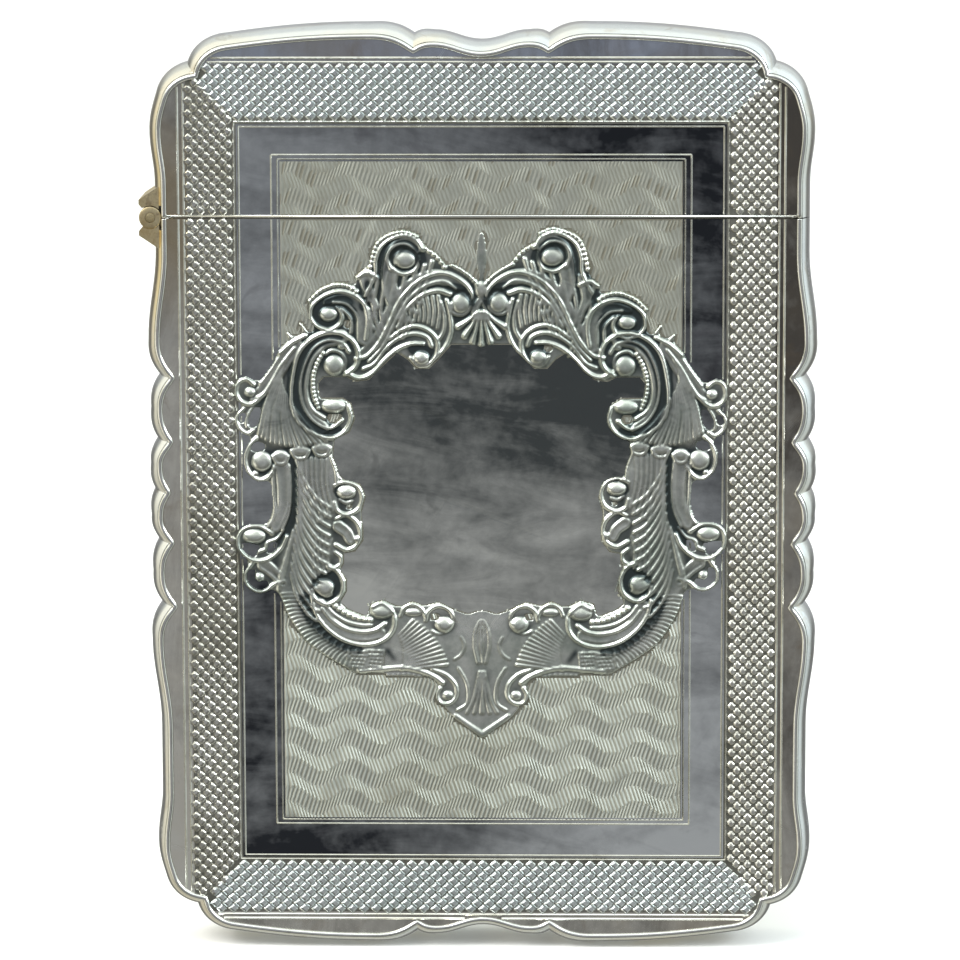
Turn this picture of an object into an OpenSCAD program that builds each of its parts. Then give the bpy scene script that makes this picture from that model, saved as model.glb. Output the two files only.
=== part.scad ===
// Hinged metal card case: a flat, scalloped case that stands on its lower edge.
// The front looks to -Y, +Z is up, and the lid is the upper part. It swings to the left.

/* [Case] */
// Overall height of the closed case
case_height = 100; // [96:0.5:104]
// Overall width across the walls, without the hinge
case_width = 71.7; // [69:0.1:74]
// Thickness from the front plate's face to the back plate's face
case_thickness = 9; // [8:0.5:11]
// Height of the lid, from the seam to the top
lid_height = 20.5; // [18.5:0.5:22]

/* [Sheet metal] */
// Thickness of the front and back plates
plate_gauge = 0.4; // [0.35:0.05:0.5]
// Thickness of the curved side walls
wall_gauge = 0.5; // [0.45:0.05:0.6]
// How far the side walls bulge out past the edges of the plates
wall_bulge = 1.15; // [0.9:0.05:1.3]
// Gap between the lid and the body at the seam
seam_gap = 0.12; // [0.08:0.02:0.2]

/* [Mouth collar] */
// How far the collar stands up into the lid
collar_rise = 3.6; // [2.5:0.1:4]
// How far the collar reaches down inside the body
collar_depth = 7; // [5:0.5:9]
// Thickness of the collar's metal
collar_gauge = 0.4; // [0.35:0.05:0.5]
// Clearance between the collar and the inside of the lid
collar_clearance = 0.1; // [0.08:0.01:0.15]

/* [Hinge] */
// Radius of the hinge knuckles
knuckle_radius = 1.2; // [1.1:0.05:1.3]
// Length of the hinge through the thickness of the case
hinge_length = 8; // [7:0.1:8]
// Radius of the hinge pin
pin_radius = 0.55; // [0.45:0.05:0.65]
// Radial clearance of the pin in the knuckles that turn on it
pin_clearance = 0.03; // [0.02:0.01:0.05]
// Clearance between each knuckle and the parts that turn past it
knuckle_clearance = 0.1; // [0.08:0.01:0.15]
// Height of each hinge lug above or below the seam
lug_height = 3.3; // [2.8:0.1:3.4]

/* [Hidden] */
$fn = 48;

// A quarter of the plates' outline, from the middle of the right side to the middle of the top.
// Each station: [x, z, heading of the edge, kink, reach]. A kink makes an inward cusp, and
// reach is how far the wall moves out there compared with the crowns of the scallops.
waist_x = 33.8;
stations = [
    [33.7, 0, 90, 36, 1.4],
    [34.6, 2.8, 90, 0, 1],
    [33.35, 5.5, 90, 38, 1.4],
    [34.5, 8.9, 90, 0, 1],
    [33.1, 12.4, 90, 42, 1.35],
    [34.7, 16.2, 90, 0, 1],
    [waist_x, 25.8, 90, 0, 1],
    [waist_x, 33, 90, 0, 1],
    [34.3, 38.6, 90, 0, 1],
    [33.6, 42.2, 107, 0, 1],
    [30.2, 44.7, 136, 40, 1.37],
    [27, 47.7, 172, 0, 1],
    [11.7, 48.85, 180, 0, 1],
    [7.15, 47.35, 180, 38, 1.3],
    [5, 48, 180, 0, 1],
    [0, 47, 180, 0, 1]
];
widest_x = 34.7;
highest_z = 48.85;
points_per_span = 5;
handle_share = 0.38;

scale_x = (case_width / 2 - wall_bulge) / widest_x;
scale_z = (case_height / 2 - wall_bulge) / highest_z;
centre_z = case_height / 2;
seam_z = case_height - lid_height;
body_top = seam_z - seam_gap / 2;
lid_bottom = seam_z + seam_gap / 2;
half_thickness = case_thickness / 2;
half_inside = half_thickness - plate_gauge;
barrel_notch = knuckle_radius + knuckle_clearance;
waist_half = waist_x * scale_x;

function heading_vector(angle) = [cos(angle), sin(angle)];
function blend(a, b, t) = a + (b - a) * t;
function bezier(p0, p1, p2, p3, t) =
    pow(1 - t, 3) * p0 + 3 * pow(1 - t, 2) * t * p1
    + 3 * (1 - t) * pow(t, 2) * p2 + pow(t, 3) * p3;

// One point of the edge between stations a and b, moved outward by offset
function span_point(a, b, t, offset) =
    let (
        start = [a[0], a[1]],
        end = [b[0], b[1]],
        handle = handle_share * norm(end - start),
        leave = start + handle * heading_vector(a[2] - a[3]),
        arrive = end - handle * heading_vector(b[2] + b[3]),
        point = bezier(start, leave, arrive, end, t),
        outward = heading_vector(blend(a[2], b[2], t) - 90)
    )
    [point[0] * scale_x, point[1] * scale_z] + outward * offset * blend(a[4], b[4], t);

function quarter(offset) = concat(
    [
        for (i = [0 : len(stations) - 2], k = [0 : points_per_span - 1])
            span_point(stations[i], stations[i + 1], k / points_per_span, offset)
    ],
    [span_point(stations[len(stations) - 2], stations[len(stations) - 1], 1, offset)]
);

// The whole outline, anticlockwise from the middle of the right side, in [x, z] of the case
function outline(offset) =
    let (q = quarter(offset), last = len(q) - 1)
    [
        for (p = concat(
            q,
            [for (i = [last - 1 : -1 : 0]) [-q[i][0], q[i][1]]],
            [for (i = [1 : last]) [-q[i][0], -q[i][1]]],
            [for (i = [last - 1 : -1 : 1]) [q[i][0], -q[i][1]]]
        )) [p[0], p[1] + centre_z]
    ];

// Each wall stops short of the seam on the left, which leaves a notch for the hinge's barrel
function wall_stop(x, stop, direction) = x < 0 ? seam_z + direction * barrel_notch : stop;

// The part of the outline above the seam, from right to left
function lid_path(offset) = concat(
    [[waist_half + offset, lid_bottom]],
    [for (p = outline(offset)) if (p[1] > wall_stop(p[0], lid_bottom, 1)) p],
    [[-waist_half - offset, wall_stop(-1, lid_bottom, 1)]]
);

// The part of the outline below the seam, from left to right
function body_path(offset) =
    let (whole = outline(offset), top = floor(len(whole) / 4))
    concat(
        [[-waist_half - offset, wall_stop(-1, body_top, -1)]],
        [
            for (i = [top : len(whole) - 1])
                if (whole[i][1] < wall_stop(whole[i][0], body_top, -1)) whole[i]
        ],
        [for (i = [0 : top - 1]) if (whole[i][1] < body_top) whole[i]],
        [[waist_half + offset, body_top]]
    );

// The side wall's section: how far it bulges at depth y, and the closed section as [offset, y]
bulge_power = 0.6;
section_steps = 6;
function bulge_at(y) = wall_bulge * pow(1 - pow(y / half_thickness, 2), bulge_power);
section_depths = [for (i = [0 : section_steps]) half_inside * sin(90 * (2 * i / section_steps - 1))];
wall_section = concat(
    [for (y = section_depths) [bulge_at(y), y]],
    [for (i = [section_steps : -1 : 0]) [bulge_at(section_depths[i]) - wall_gauge, section_depths[i]]]
);

// A strip with the wall's section, swept along one path per corner of the section
module swept_wall(paths) {
    corners = len(paths);
    stops = len(paths[0]);
    points = [
        for (k = [0 : stops - 1], j = [0 : corners - 1])
            [paths[j][k][0], wall_section[j][1], paths[j][k][1]]
    ];
    sides = [
        for (k = [0 : stops - 2], j = [0 : corners - 1])
            let (n = (j + 1) % corners)
            [k * corners + j, k * corners + n, (k + 1) * corners + n, (k + 1) * corners + j]
    ];
    start_cap = [[for (j = [corners - 1 : -1 : 0]) j]];
    end_cap = [[for (j = [0 : corners - 1]) (stops - 1) * corners + j]];
    polyhedron(points, concat(sides, start_cap, end_cap));
}

// A plate of the whole outline, cut to the heights between low and high
module plate(front_y, low, high) {
    intersection() {
        translate([0, front_y + plate_gauge, 0])
            rotate([90, 0, 0])
                linear_extrude(plate_gauge)
                    polygon(outline(0));
        translate([-case_width, front_y - 1, low])
            cube([2 * case_width, plate_gauge + 2, high - low]);
    }
}

module body_plate(front_y) {
    plate(front_y, -1, body_top);
}

module lid_plate(front_y) {
    plate(front_y, lid_bottom, case_height + 1);
}

// The collar: a flat rounded tube, thicker below the seam where it is soldered in
collar_half_width = waist_half - 0.5;
collar_corner = 1;
collar_outer_half = half_inside - collar_clearance;
collar_seat_gap = 0.01;

module rounded_box(half_x, half_y, radius, height) {
    linear_extrude(height)
        union() {
            square([2 * half_x, 2 * (half_y - radius)], center = true);
            square([2 * (half_x - radius), 2 * half_y], center = true);
            for (sx = [-1, 1], sy = [-1, 1])
                translate([sx * (half_x - radius), sy * (half_y - radius)])
                    circle(radius);
        }
}

module mouth_collar() {
    bottom = seam_z - collar_depth;
    color([0.80, 0.80, 0.76])
        difference() {
            union() {
                translate([0, 0, bottom])
                    rounded_box(collar_half_width, collar_outer_half, collar_corner,
                                collar_depth + collar_rise);
                translate([0, 0, bottom])
                    rounded_box(collar_half_width, half_inside - collar_seat_gap, collar_corner,
                                body_top - bottom);
            }
            translate([0, 0, bottom - 1])
                rounded_box(collar_half_width - collar_gauge, collar_outer_half - collar_gauge,
                            collar_corner - collar_gauge, collar_depth + collar_rise + 2);
        }
}

// The hinge: five knuckles on a pin that runs through the thickness, on the left wall
axis_x = -(waist_half + wall_bulge + 0.25);
knuckle_count = 5;
knuckle_pitch = hinge_length / knuckle_count;
knuckle_end_gap = 0.03;
body_knuckles = [0, 2, 4];
lid_knuckles = [1, 3];
solder_gap = 0.01;
lug_outer_x = -knuckle_radius;
lug_straight = 1.9;
lug_inner_x = 0.9;
lug_relief_angle = 130;
section_margin = 2;

function knuckle_y(i) = (i + 0.5 - knuckle_count / 2) * knuckle_pitch;

module along_hinge(y, length, radius) {
    translate([axis_x, y + length / 2, seam_z])
        rotate([90, 0, 0])
            cylinder(h = length, r = radius);
}

module knuckle(i, bore_radius) {
    color([0.70, 0.70, 0.66])
        difference() {
            along_hinge(knuckle_y(i), knuckle_pitch - 2 * knuckle_end_gap, knuckle_radius);
            along_hinge(knuckle_y(i), knuckle_pitch + 1, bore_radius);
        }
}

// The space that the knuckles take out of a lug
module knuckle_space(own, other) {
    for (i = own)
        along_hinge(knuckle_y(i), knuckle_pitch, knuckle_radius + solder_gap);
    for (i = other)
        along_hinge(knuckle_y(i), knuckle_pitch, knuckle_radius + knuckle_clearance);
}

// A lug's outline beside the pin, pointing up. The slanted edge lets the lid open.
lug_outline = [
    [section_margin, seam_gap / 2],
    [0, seam_gap / 2],
    [lug_outer_x, -lug_outer_x * tan(180 - lug_relief_angle)],
    [lug_outer_x, lug_straight],
    [lug_inner_x, lug_height],
    [section_margin, lug_height]
];

module lug(direction) {
    intersection() {
        translate([axis_x, hinge_length / 2, seam_z])
            scale([1, 1, direction])
                rotate([90, 0, 0])
                    linear_extrude(hinge_length)
                        polygon(lug_outline);
        translate([0, 0, seam_z - case_height])
            linear_extrude(2 * case_height)
                polygon(concat(
                    [for (y = section_depths) [-(waist_half + bulge_at(y) + solder_gap), y]],
                    [[axis_x - 2 * section_margin, half_inside],
                     [axis_x - 2 * section_margin, -half_inside]]
                ));
    }
}

module body_front_plate() {
    color([0.62, 0.63, 0.60]) body_plate(-half_thickness);
}

module body_back_plate() {
    color([0.60, 0.61, 0.58]) body_plate(half_inside);
}

module lid_front_plate() {
    color([0.66, 0.67, 0.64]) lid_plate(-half_thickness);
}

module lid_back_plate() {
    color([0.64, 0.65, 0.62]) lid_plate(half_inside);
}

module body_side_wall() {
    color([0.80, 0.86, 0.88]) swept_wall([for (corner = wall_section) body_path(corner[0])]);
}

module lid_side_wall() {
    color([0.84, 0.90, 0.92]) swept_wall([for (corner = wall_section) lid_path(corner[0])]);
}

module body_hinge_lug() {
    color([0.72, 0.72, 0.64])
        difference() {
            lug(-1);
            knuckle_space(body_knuckles, lid_knuckles);
        }
}

module lid_hinge_lug() {
    color([0.76, 0.76, 0.68])
        difference() {
            lug(1);
            knuckle_space(lid_knuckles, body_knuckles);
        }
}

module body_knuckle_front() {
    knuckle(body_knuckles[0], pin_radius + solder_gap);
}

module body_knuckle_middle() {
    knuckle(body_knuckles[1], pin_radius + solder_gap);
}

module body_knuckle_rear() {
    knuckle(body_knuckles[2], pin_radius + solder_gap);
}

module lid_knuckle_front() {
    knuckle(lid_knuckles[0], pin_radius + pin_clearance);
}

module lid_knuckle_rear() {
    knuckle(lid_knuckles[1], pin_radius + pin_clearance);
}

module hinge_pin() {
    color([0.72, 0.60, 0.30]) along_hinge(0, hinge_length, pin_radius);
}

body_front_plate();
body_back_plate();
body_side_wall();
mouth_collar();
body_hinge_lug();
body_knuckle_front();
body_knuckle_middle();
body_knuckle_rear();
hinge_pin();
lid_front_plate();
lid_back_plate();
lid_side_wall();
lid_hinge_lug();
lid_knuckle_front();
lid_knuckle_rear();
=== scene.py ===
import math

import bpy
import numpy as np
from mathutils import Matrix, Vector
from mathutils.geometry import delaunay_2d_cdt


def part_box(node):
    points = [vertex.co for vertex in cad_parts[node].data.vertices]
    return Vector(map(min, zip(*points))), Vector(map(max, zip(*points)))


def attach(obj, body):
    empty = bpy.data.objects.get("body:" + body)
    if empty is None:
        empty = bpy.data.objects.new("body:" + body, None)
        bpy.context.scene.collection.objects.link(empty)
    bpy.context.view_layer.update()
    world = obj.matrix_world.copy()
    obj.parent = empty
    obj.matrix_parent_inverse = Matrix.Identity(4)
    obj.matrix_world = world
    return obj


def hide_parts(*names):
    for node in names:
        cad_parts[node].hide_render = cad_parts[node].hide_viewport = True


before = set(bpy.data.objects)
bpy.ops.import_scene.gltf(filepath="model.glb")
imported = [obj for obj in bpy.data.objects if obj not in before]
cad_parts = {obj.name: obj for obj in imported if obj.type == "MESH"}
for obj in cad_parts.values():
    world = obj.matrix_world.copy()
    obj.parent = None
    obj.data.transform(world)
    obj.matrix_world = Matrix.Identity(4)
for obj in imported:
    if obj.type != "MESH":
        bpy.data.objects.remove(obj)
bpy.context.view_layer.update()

MM = 0.001
TINY = 1e-9
rng = np.random.default_rng(7)


def cad_mm(node):
    """The lowest and highest corners of a CAD node, in millimetres."""
    low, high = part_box(node)
    return np.array(low) / MM, np.array(high) / MM


# ---------------------------------------------------------------- sizes, in millimetres

plate_low, plate_high = cad_mm("body_front_plate")
lid_low, lid_high = cad_mm("lid_front_plate")
knuckle_low, knuckle_high = cad_mm("body_knuckle_middle")
HALF_T = -plate_low[1]
GAUGE = plate_high[1] - plate_low[1]
BODY_TOP = plate_high[2]
LID_BOTTOM = lid_low[2]
SEAM = (BODY_TOP + LID_BOTTOM) / 2
CENTRE_Z = (plate_low[2] + lid_high[2]) / 2
AXIS_X = (knuckle_low[0] + knuckle_high[0]) / 2
KNUCKLE_R = (knuckle_high[0] - knuckle_low[0]) / 2
WALL_GAUGE = 0.5
WALL_BULGE = 1.15
BULGE_POWER = 0.6
BARREL_NOTCH = KNUCKLE_R + 0.1

# The plates' outline: a quarter of it, from the middle of the right side to the middle of the
# top. Each station is x, z, heading of the edge, kink (an inward cusp) and reach of the wall.
STATIONS = [
    (33.7, 0, 90, 36, 1.4), (34.6, 2.8, 90, 0, 1), (33.35, 5.5, 90, 38, 1.4),
    (34.5, 8.9, 90, 0, 1), (33.1, 12.4, 90, 42, 1.35), (34.7, 16.2, 90, 0, 1),
    (33.8, 25.8, 90, 0, 1), (33.8, 33, 90, 0, 1), (34.3, 38.6, 90, 0, 1),
    (33.6, 42.2, 107, 0, 1), (30.2, 44.7, 136, 40, 1.37), (27, 47.7, 172, 0, 1),
    (11.7, 48.85, 180, 0, 1), (7.15, 47.35, 180, 38, 1.3), (5, 48, 180, 0, 1),
    (0, 47, 180, 0, 1),
]
HANDLE = 0.38
SPAN_STEPS = 12
WAIST_HALF = 33.8


def heading(angle):
    return np.array([math.cos(math.radians(angle)), math.sin(math.radians(angle))])


def span_point(a, b, t):
    """A point of the outline, and how far and which way the wall goes out there."""
    start, end = np.array(a[:2], float), np.array(b[:2], float)
    handle = HANDLE * np.linalg.norm(end - start)
    leave = start + handle * heading(a[2] - a[3])
    arrive = end - handle * heading(b[2] + b[3])
    p = ((1 - t) ** 3 * start + 3 * (1 - t) ** 2 * t * leave
         + 3 * (1 - t) * t ** 2 * arrive + t ** 3 * end)
    out = heading(a[2] + (b[2] - a[2]) * t - 90) * (a[4] + (b[4] - a[4]) * t)
    return p, out


def whole_outline():
    """Points and outward steps, anticlockwise from the middle of the right side."""
    quarter = []
    for a, b in zip(STATIONS[:-1], STATIONS[1:]):
        quarter += [span_point(a, b, k / SPAN_STEPS) for k in range(SPAN_STEPS)]
    quarter.append(span_point(STATIONS[-2], STATIONS[-1], 1))
    points, outs = [], []
    for sx, sz, order in ((1, 1, quarter), (-1, 1, quarter[-2::-1]),
                          (-1, -1, quarter[1:]), (1, -1, quarter[-2:0:-1])):
        for p, o in order:
            points.append((sx * p[0], sz * p[1] + CENTRE_Z))
            outs.append((sx * o[0], sz * o[1]))
    return np.array(points), np.array(outs)


OUTLINE, OUTWARD = whole_outline()


def inset_outline(distance):
    """The outline moved inward, for clipping what is engraved near the edge."""
    return OUTLINE + path_normals(OUTLINE, True) * distance


def part_of_outline(upper, notch=0.0):
    """The outline above or below the seam, as an open run anticlockwise, and its outward steps.

    notch is how much more is left off on the left, where the hinge barrel turns.
    """
    sign, edge, start = (1, LID_BOTTOM, 0) if upper else (-1, BODY_TOP, len(OUTLINE) // 4)
    left = SEAM + sign * notch if notch else edge
    keep = sign * OUTLINE[:, 1] > sign * np.where(OUTLINE[:, 0] < 0, left, edge)
    order = np.roll(np.arange(len(OUTLINE)), -start)
    order = order[keep[order]]
    ends = [((WAIST_HALF, edge), (1, 0)), ((-WAIST_HALF, left), (-1, 0))]
    (first, first_out), (last, last_out) = ends if upper else ends[::-1]
    return (np.array([first, *OUTLINE[order], last], float),
            np.array([first_out, *OUTWARD[order], last_out], float))


# ---------------------------------------------------------------- meshes

class Side:
    """The front or the back face of the case: x to the side, z up, h out of the face."""

    def __init__(self, name, sign):
        self.name, self.sign = name, sign

    def place(self, x, z, h):
        s = self.sign
        return np.stack([s * x, -s * (HALF_T + h), z + 0 * x], axis=-1)


FRONT = Side("front", 1)
BACK = Side("back", -1)


def add_piece(name, verts, faces, body, materials, nodes=(), smooth=True, tone=None):
    """Makes a piece from points in millimetres, and says what it rides on and stands for."""
    mesh = bpy.data.meshes.new(name)
    verts = np.asarray(verts, float).reshape(-1, 3) * MM
    if isinstance(faces, np.ndarray):
        size = faces.shape[1]
        mesh.vertices.add(len(verts))
        mesh.vertices.foreach_set("co", verts.ravel())
        mesh.loops.add(faces.size)
        mesh.loops.foreach_set("vertex_index", faces.ravel().astype(np.int32))
        mesh.polygons.add(len(faces))
        mesh.polygons.foreach_set("loop_start", np.arange(0, faces.size, size, dtype=np.int32))
        mesh.update(calc_edges=True)
        mesh.validate()
    else:
        mesh.from_pydata([tuple(v) for v in verts], [], faces)
        mesh.update()
    mesh.polygons.foreach_set("use_smooth", np.full(len(mesh.polygons), smooth))
    if tone is not None:
        mesh.attributes.new("tone", "FLOAT", "POINT").data.foreach_set(
            "value", np.asarray(tone, np.float32).ravel())
    for material in materials:
        mesh.materials.append(material)
    piece = bpy.data.objects.new(name, mesh)
    bpy.context.scene.collection.objects.link(piece)
    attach(piece, body)
    if nodes:
        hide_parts(*nodes)
    return piece


def join(parts):
    """Joins (verts, faces) lists into one, shifting the face indices."""
    verts, faces, start = [], [], 0
    for v, f in parts:
        v = np.asarray(v, float).reshape(-1, 3)
        verts.append(v)
        faces += [tuple(i + start for i in face) for face in f]
        start += len(v)
    return np.concatenate(verts), faces


def ring_faces(stops, corners, closed):
    """Faces between rings of `corners` points, one ring per stop of a sweep."""
    faces = []
    for k in range(stops if closed else stops - 1):
        n = (k + 1) % stops
        for j in range(corners):
            m = (j + 1) % corners
            faces.append((k * corners + j, k * corners + m, n * corners + m, n * corners + j))
    return faces


def tube_faces(stops, corners):
    """Faces of an open sweep with its two caps."""
    caps = [tuple(range(corners - 1, -1, -1)),
            tuple((stops - 1) * corners + j for j in range(corners))]
    return ring_faces(stops, corners, False) + caps


def unit(vectors):
    return vectors / np.maximum(np.linalg.norm(vectors, axis=1, keepdims=True), TINY)


def path_normals(points, closed=False):
    """Unit normals to the left of a path in x, z."""
    ahead = np.roll(points, -1, 0) - points
    behind = points - np.roll(points, 1, 0)
    if not closed:
        ahead[-1], behind[0] = behind[-1], ahead[0]
    tangent = unit(unit(ahead) + unit(behind))
    return np.stack([-tangent[:, 1], tangent[:, 0]], axis=1)


def sweep_on_face(side, path, section):
    """Sweeps a section of (across, height) points along an open path on a face."""
    path = np.asarray(path, float)
    normals = path_normals(path)
    rows = []
    for across, height in section:
        q = path + normals * across
        rows.append(side.place(q[:, 0], q[:, 1], np.full(len(q), float(height))))
    return np.stack(rows, axis=1).reshape(-1, 3), tube_faces(len(path), len(section))


def smooth_path(points, step=0.25):
    """A Catmull-Rom curve through given points, with even spacing."""
    p = np.asarray(points, float)
    if len(p) == 2:
        curve = np.linspace(p[0], p[1], 20)
    else:
        q = np.vstack([2 * p[0] - p[1], p, 2 * p[-1] - p[-2]])
        t = np.linspace(0, 1, 12, endpoint=False)[:, None]
        runs = []
        for i in range(1, len(q) - 2):
            a, b, c, d = q[i - 1], q[i], q[i + 1], q[i + 2]
            runs.append(0.5 * (2 * b + (c - a) * t + (2 * a - 5 * b + 4 * c - d) * t ** 2
                               + (3 * b - a - 3 * c + d) * t ** 3))
        curve = np.vstack(runs + [p[-1:]])
    length = np.concatenate([[0], np.cumsum(np.linalg.norm(np.diff(curve, axis=0), axis=1))])
    at = np.linspace(0, length[-1], max(3, int(length[-1] / step) + 1))
    return np.stack([np.interp(at, length, curve[:, k]) for k in (0, 1)], axis=1)


def inside(polygon, x, z):
    """Even-odd test of points against a polygon."""
    p = np.asarray(polygon, float)
    q = np.roll(p, -1, 0)
    hit = np.zeros(np.shape(x), bool)
    for (ax, az), (bx, bz) in zip(p, q):
        if az == bz:
            continue
        crosses = (az > z) != (bz > z)
        hit ^= crosses & (x < ax + (z - az) * (bx - ax) / (bz - az))
    return hit


def blurred(a, radius, times=1):
    """A box blur, repeated."""
    for _ in range(times):
        for axis in (0, 1):
            padded = np.concatenate([np.take(a, [0] * radius, axis), a,
                                     np.take(a, [-1] * radius, axis)], axis)
            total = np.cumsum(padded, axis)
            total = np.concatenate([np.zeros_like(np.take(total, [0], axis)), total], axis)
            width = 2 * radius + 1
            n = a.shape[axis]
            a = (np.take(total, range(width, width + n), axis)
                 - np.take(total, range(n), axis)) / width
    return a


def soft_noise(shape, radius, seed):
    """Smooth random waves between about -1 and 1."""
    noise = blurred(np.random.default_rng(seed).normal(size=shape), radius, 2)
    return noise / max(np.abs(noise).max(), TINY)


def cell_quads(cells):
    """Faces of the chosen cells of a grid, and how many of them meet at each grid point."""
    nz, nx = cells.shape
    count = np.zeros((nz + 1, nx + 1), int)
    for dj in (0, 1):
        for di in (0, 1):
            count[dj:nz + dj, di:nx + di] += cells
    index = np.cumsum(count.ravel() > 0).reshape(count.shape) - 1
    j, i = np.nonzero(cells)
    quads = np.stack([index[j, i], index[j, i + 1], index[j + 1, i + 1], index[j + 1, i]], 1)
    return quads, count


# ---------------------------------------------------------------- chased relief

RIDGE_WIDTH = 0.82
RIDGE_POWER = 0.7
BLADE_FLANK = 4          # how fast a leaf blade rises at its edge
BLADE_HOLLOW = 0.45
GROUND = 0.12            # how high the frame's ground stands above the plate
GROUND_FADE = 0.1        # and what is left of that where the frame runs out into the shield
RELIEF_SCALE = 0.56
EYE_LEAN = 0.3
EYE_MOAT = 0.25
# How much the painted shade strokes darken the tone
PAINTED_SHADE_DEPTH = 0.55
LOWER_LIGHTENING = 0.12            # how much lighter the ornament is made towards the bottom
LIGHTENED_BELOW = 39
PAINTED_SHADE_LIFT = 0.12        # the painted shade fades out on ornament this far above its surroundings
TONE_RADIUS = 0.8
TONE_REACH = 0.36        # the height difference from black to white
TURNED_DOWN = -0.06
RAISED = 0.06            # anything higher than this belongs to the ornament
OUTSIDE = -9             # a height that never wins


class Relief:
    """A sheet of metal worked in relief: heights on an even grid over part of a face."""

    def __init__(self, x_range, z_range, step):
        self.step = step
        self.xs = np.arange(x_range[0], x_range[1] + step / 2, step)
        self.zs = np.arange(z_range[0], z_range[1] + step / 2, step)
        self.h = np.zeros((len(self.zs), len(self.xs)))
        # Where painted shade is laid, from 0 to 1
        self.painted_shade = np.zeros_like(self.h)
        self.shift = np.zeros(2)

    def grid(self):
        return np.meshgrid(self.xs, self.zs)

    def window(self, low, high, pad):
        i0, i1 = np.searchsorted(self.xs, [low[0] - pad, high[0] + pad])
        j0, j1 = np.searchsorted(self.zs, [low[1] - pad, high[1] + pad])
        return slice(j0, j1), slice(i0, i1)

    def profile(self, points, w0, w1, swell=0.0):
        """How near each grid point is to a stroke: 1 on its line, 0 at its edge."""
        path = smooth_path(np.asarray(points, float) + self.shift)
        t = np.linspace(0, 1, len(path))
        widths = w0 + (w1 - w0) * t + swell * np.sin(np.pi * t)
        wide = widths.max() + self.step
        area = self.window(path.min(0), path.max(0), wide)
        near = np.zeros((area[0].stop - area[0].start, area[1].stop - area[1].start))
        for k in range(len(path) - 1):
            a, b = path[k], path[k + 1]
            js, is_ = self.window(np.minimum(a, b), np.maximum(a, b), widths[k] + self.step)
            if js.stop <= js.start or is_.stop <= is_.start:
                continue
            x, z = self.xs[is_][None, :], self.zs[js][:, None]
            d = b - a
            s = np.clip(((x - a[0]) * d[0] + (z - a[1]) * d[1]) / max(d @ d, TINY), 0, 1)
            dist2 = (x - a[0] - s * d[0]) ** 2 + (z - a[1] - s * d[1]) ** 2
            w = widths[k] + (widths[k + 1] - widths[k]) * s
            here = np.clip(1 - dist2 / np.maximum(w, 1e-3) ** 2, 0, 1)
            part = near[js.start - area[0].start:js.stop - area[0].start,
                        is_.start - area[1].start:is_.stop - area[1].start]
            np.maximum(part, here, out=part)
        return area, near

    def raise_to(self, area, top, where):
        self.h[area] = np.maximum(self.h[area], np.where(where, top, OUTSIDE))

    def ridge(self, points, w0, w1, height, base=0.0):
        area, near = self.profile(points, RIDGE_WIDTH * w0, RIDGE_WIDTH * w1)
        self.raise_to(area, base + height * near ** RIDGE_POWER, near > 0)

    def blade(self, points, w0, w1, height, swell=0.0):
        """A broad leaf blade, hollow along its middle."""
        area, near = self.profile(points, w0, w1, swell)
        form = np.clip(near * BLADE_FLANK, 0, 1) ** 0.5 - BLADE_HOLLOW * near ** 2
        self.raise_to(area, height * form, near > 0)

    def groove(self, points, width, depth):
        area, near = self.profile(points, width, width)
        self.h[area] -= depth * near

    def paint_shade(self, points, w0, w1, swell=0.0):
        """Painted shade: a dark stroke laid where the relief lies in deep shade."""
        area, near = self.profile(points, w0, w1, swell)
        self.painted_shade[area] = np.maximum(self.painted_shade[area], near ** 0.6)

    def ball(self, x, z, rx, rz, reach):
        """An area round a ball, places in it in radii, and the ball's own height there."""
        x, z = x + self.shift[0], z + self.shift[1]
        pad = self.step
        area = self.window((x - reach * rx, z - reach * rz), (x + reach * rx, z + reach * rz), pad)
        dx = (self.xs[area[1]][None, :] - x) / rx
        dz = (self.zs[area[0]][:, None] - z) / rz
        return area, dx, dz, np.sqrt(np.maximum(1 - dx ** 2 - dz ** 2, 0))

    def dome(self, x, z, rx, rz, height, base=0.0):
        area, _, _, p = self.ball(x, z, rx, rz, 1)
        self.raise_to(area, base + height * p, p > 0)

    def beads(self, points, spacing, radius, height, base=0.1):
        for x, z in smooth_path(points, spacing):
            self.dome(x, z, radius, radius, height, base)

    def eye(self, x, z, rx, rz, height=0.7):
        """A ball at the heart of a scroll, leaning so that its face looks up a little."""
        area, dx, dz, p = self.ball(x, z, rx, rz, 1.5)
        moat = np.clip(1 - np.abs(np.hypot(dx, dz) - 1.2) / 0.25, 0, 1)
        self.h[area] -= EYE_MOAT * moat * (self.h[area] > 0)
        self.raise_to(area, height * p * (1 - EYE_LEAN * dz + EYE_LEAN / 3 * dx), p > 0)

    def region(self, polygon, level, soft=2):
        gx, gz = self.grid()
        mask = inside(np.asarray(polygon, float) + self.shift, gx, gz).astype(float)
        self.h = np.maximum(self.h, level * blurred(mask, soft, 2))

    def fan(self, centre, angles, near, far, count, w0, w1, height):
        """Ribs that spread from a point. near and far are the radii at the two ends."""
        for t in np.linspace(0, 1, count):
            a = heading(angles[0] + (angles[1] - angles[0]) * t)
            radii = [end[0] + (end[1] - end[0]) * t for end in (near, far)]
            self.ridge([np.array(centre, float) + a * r for r in radii], w0, w1, height)

    def between(self, first, second, count, w0, w1, height, base=0.0):
        """Ribs from points along one curve to points along another."""
        a = smooth_path(first, 0.1)
        b = smooth_path(second, 0.1)
        for k in range(count):
            t = k / (count - 1)
            p, q = a[int(t * (len(a) - 1))], b[int(t * (len(b) - 1))]
            middle = (p + q) / 2 + 0.06 * np.array([q[1] - p[1], p[0] - q[0]])
            self.ridge([p, middle, q], w0, w1, height, base=base)

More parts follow.
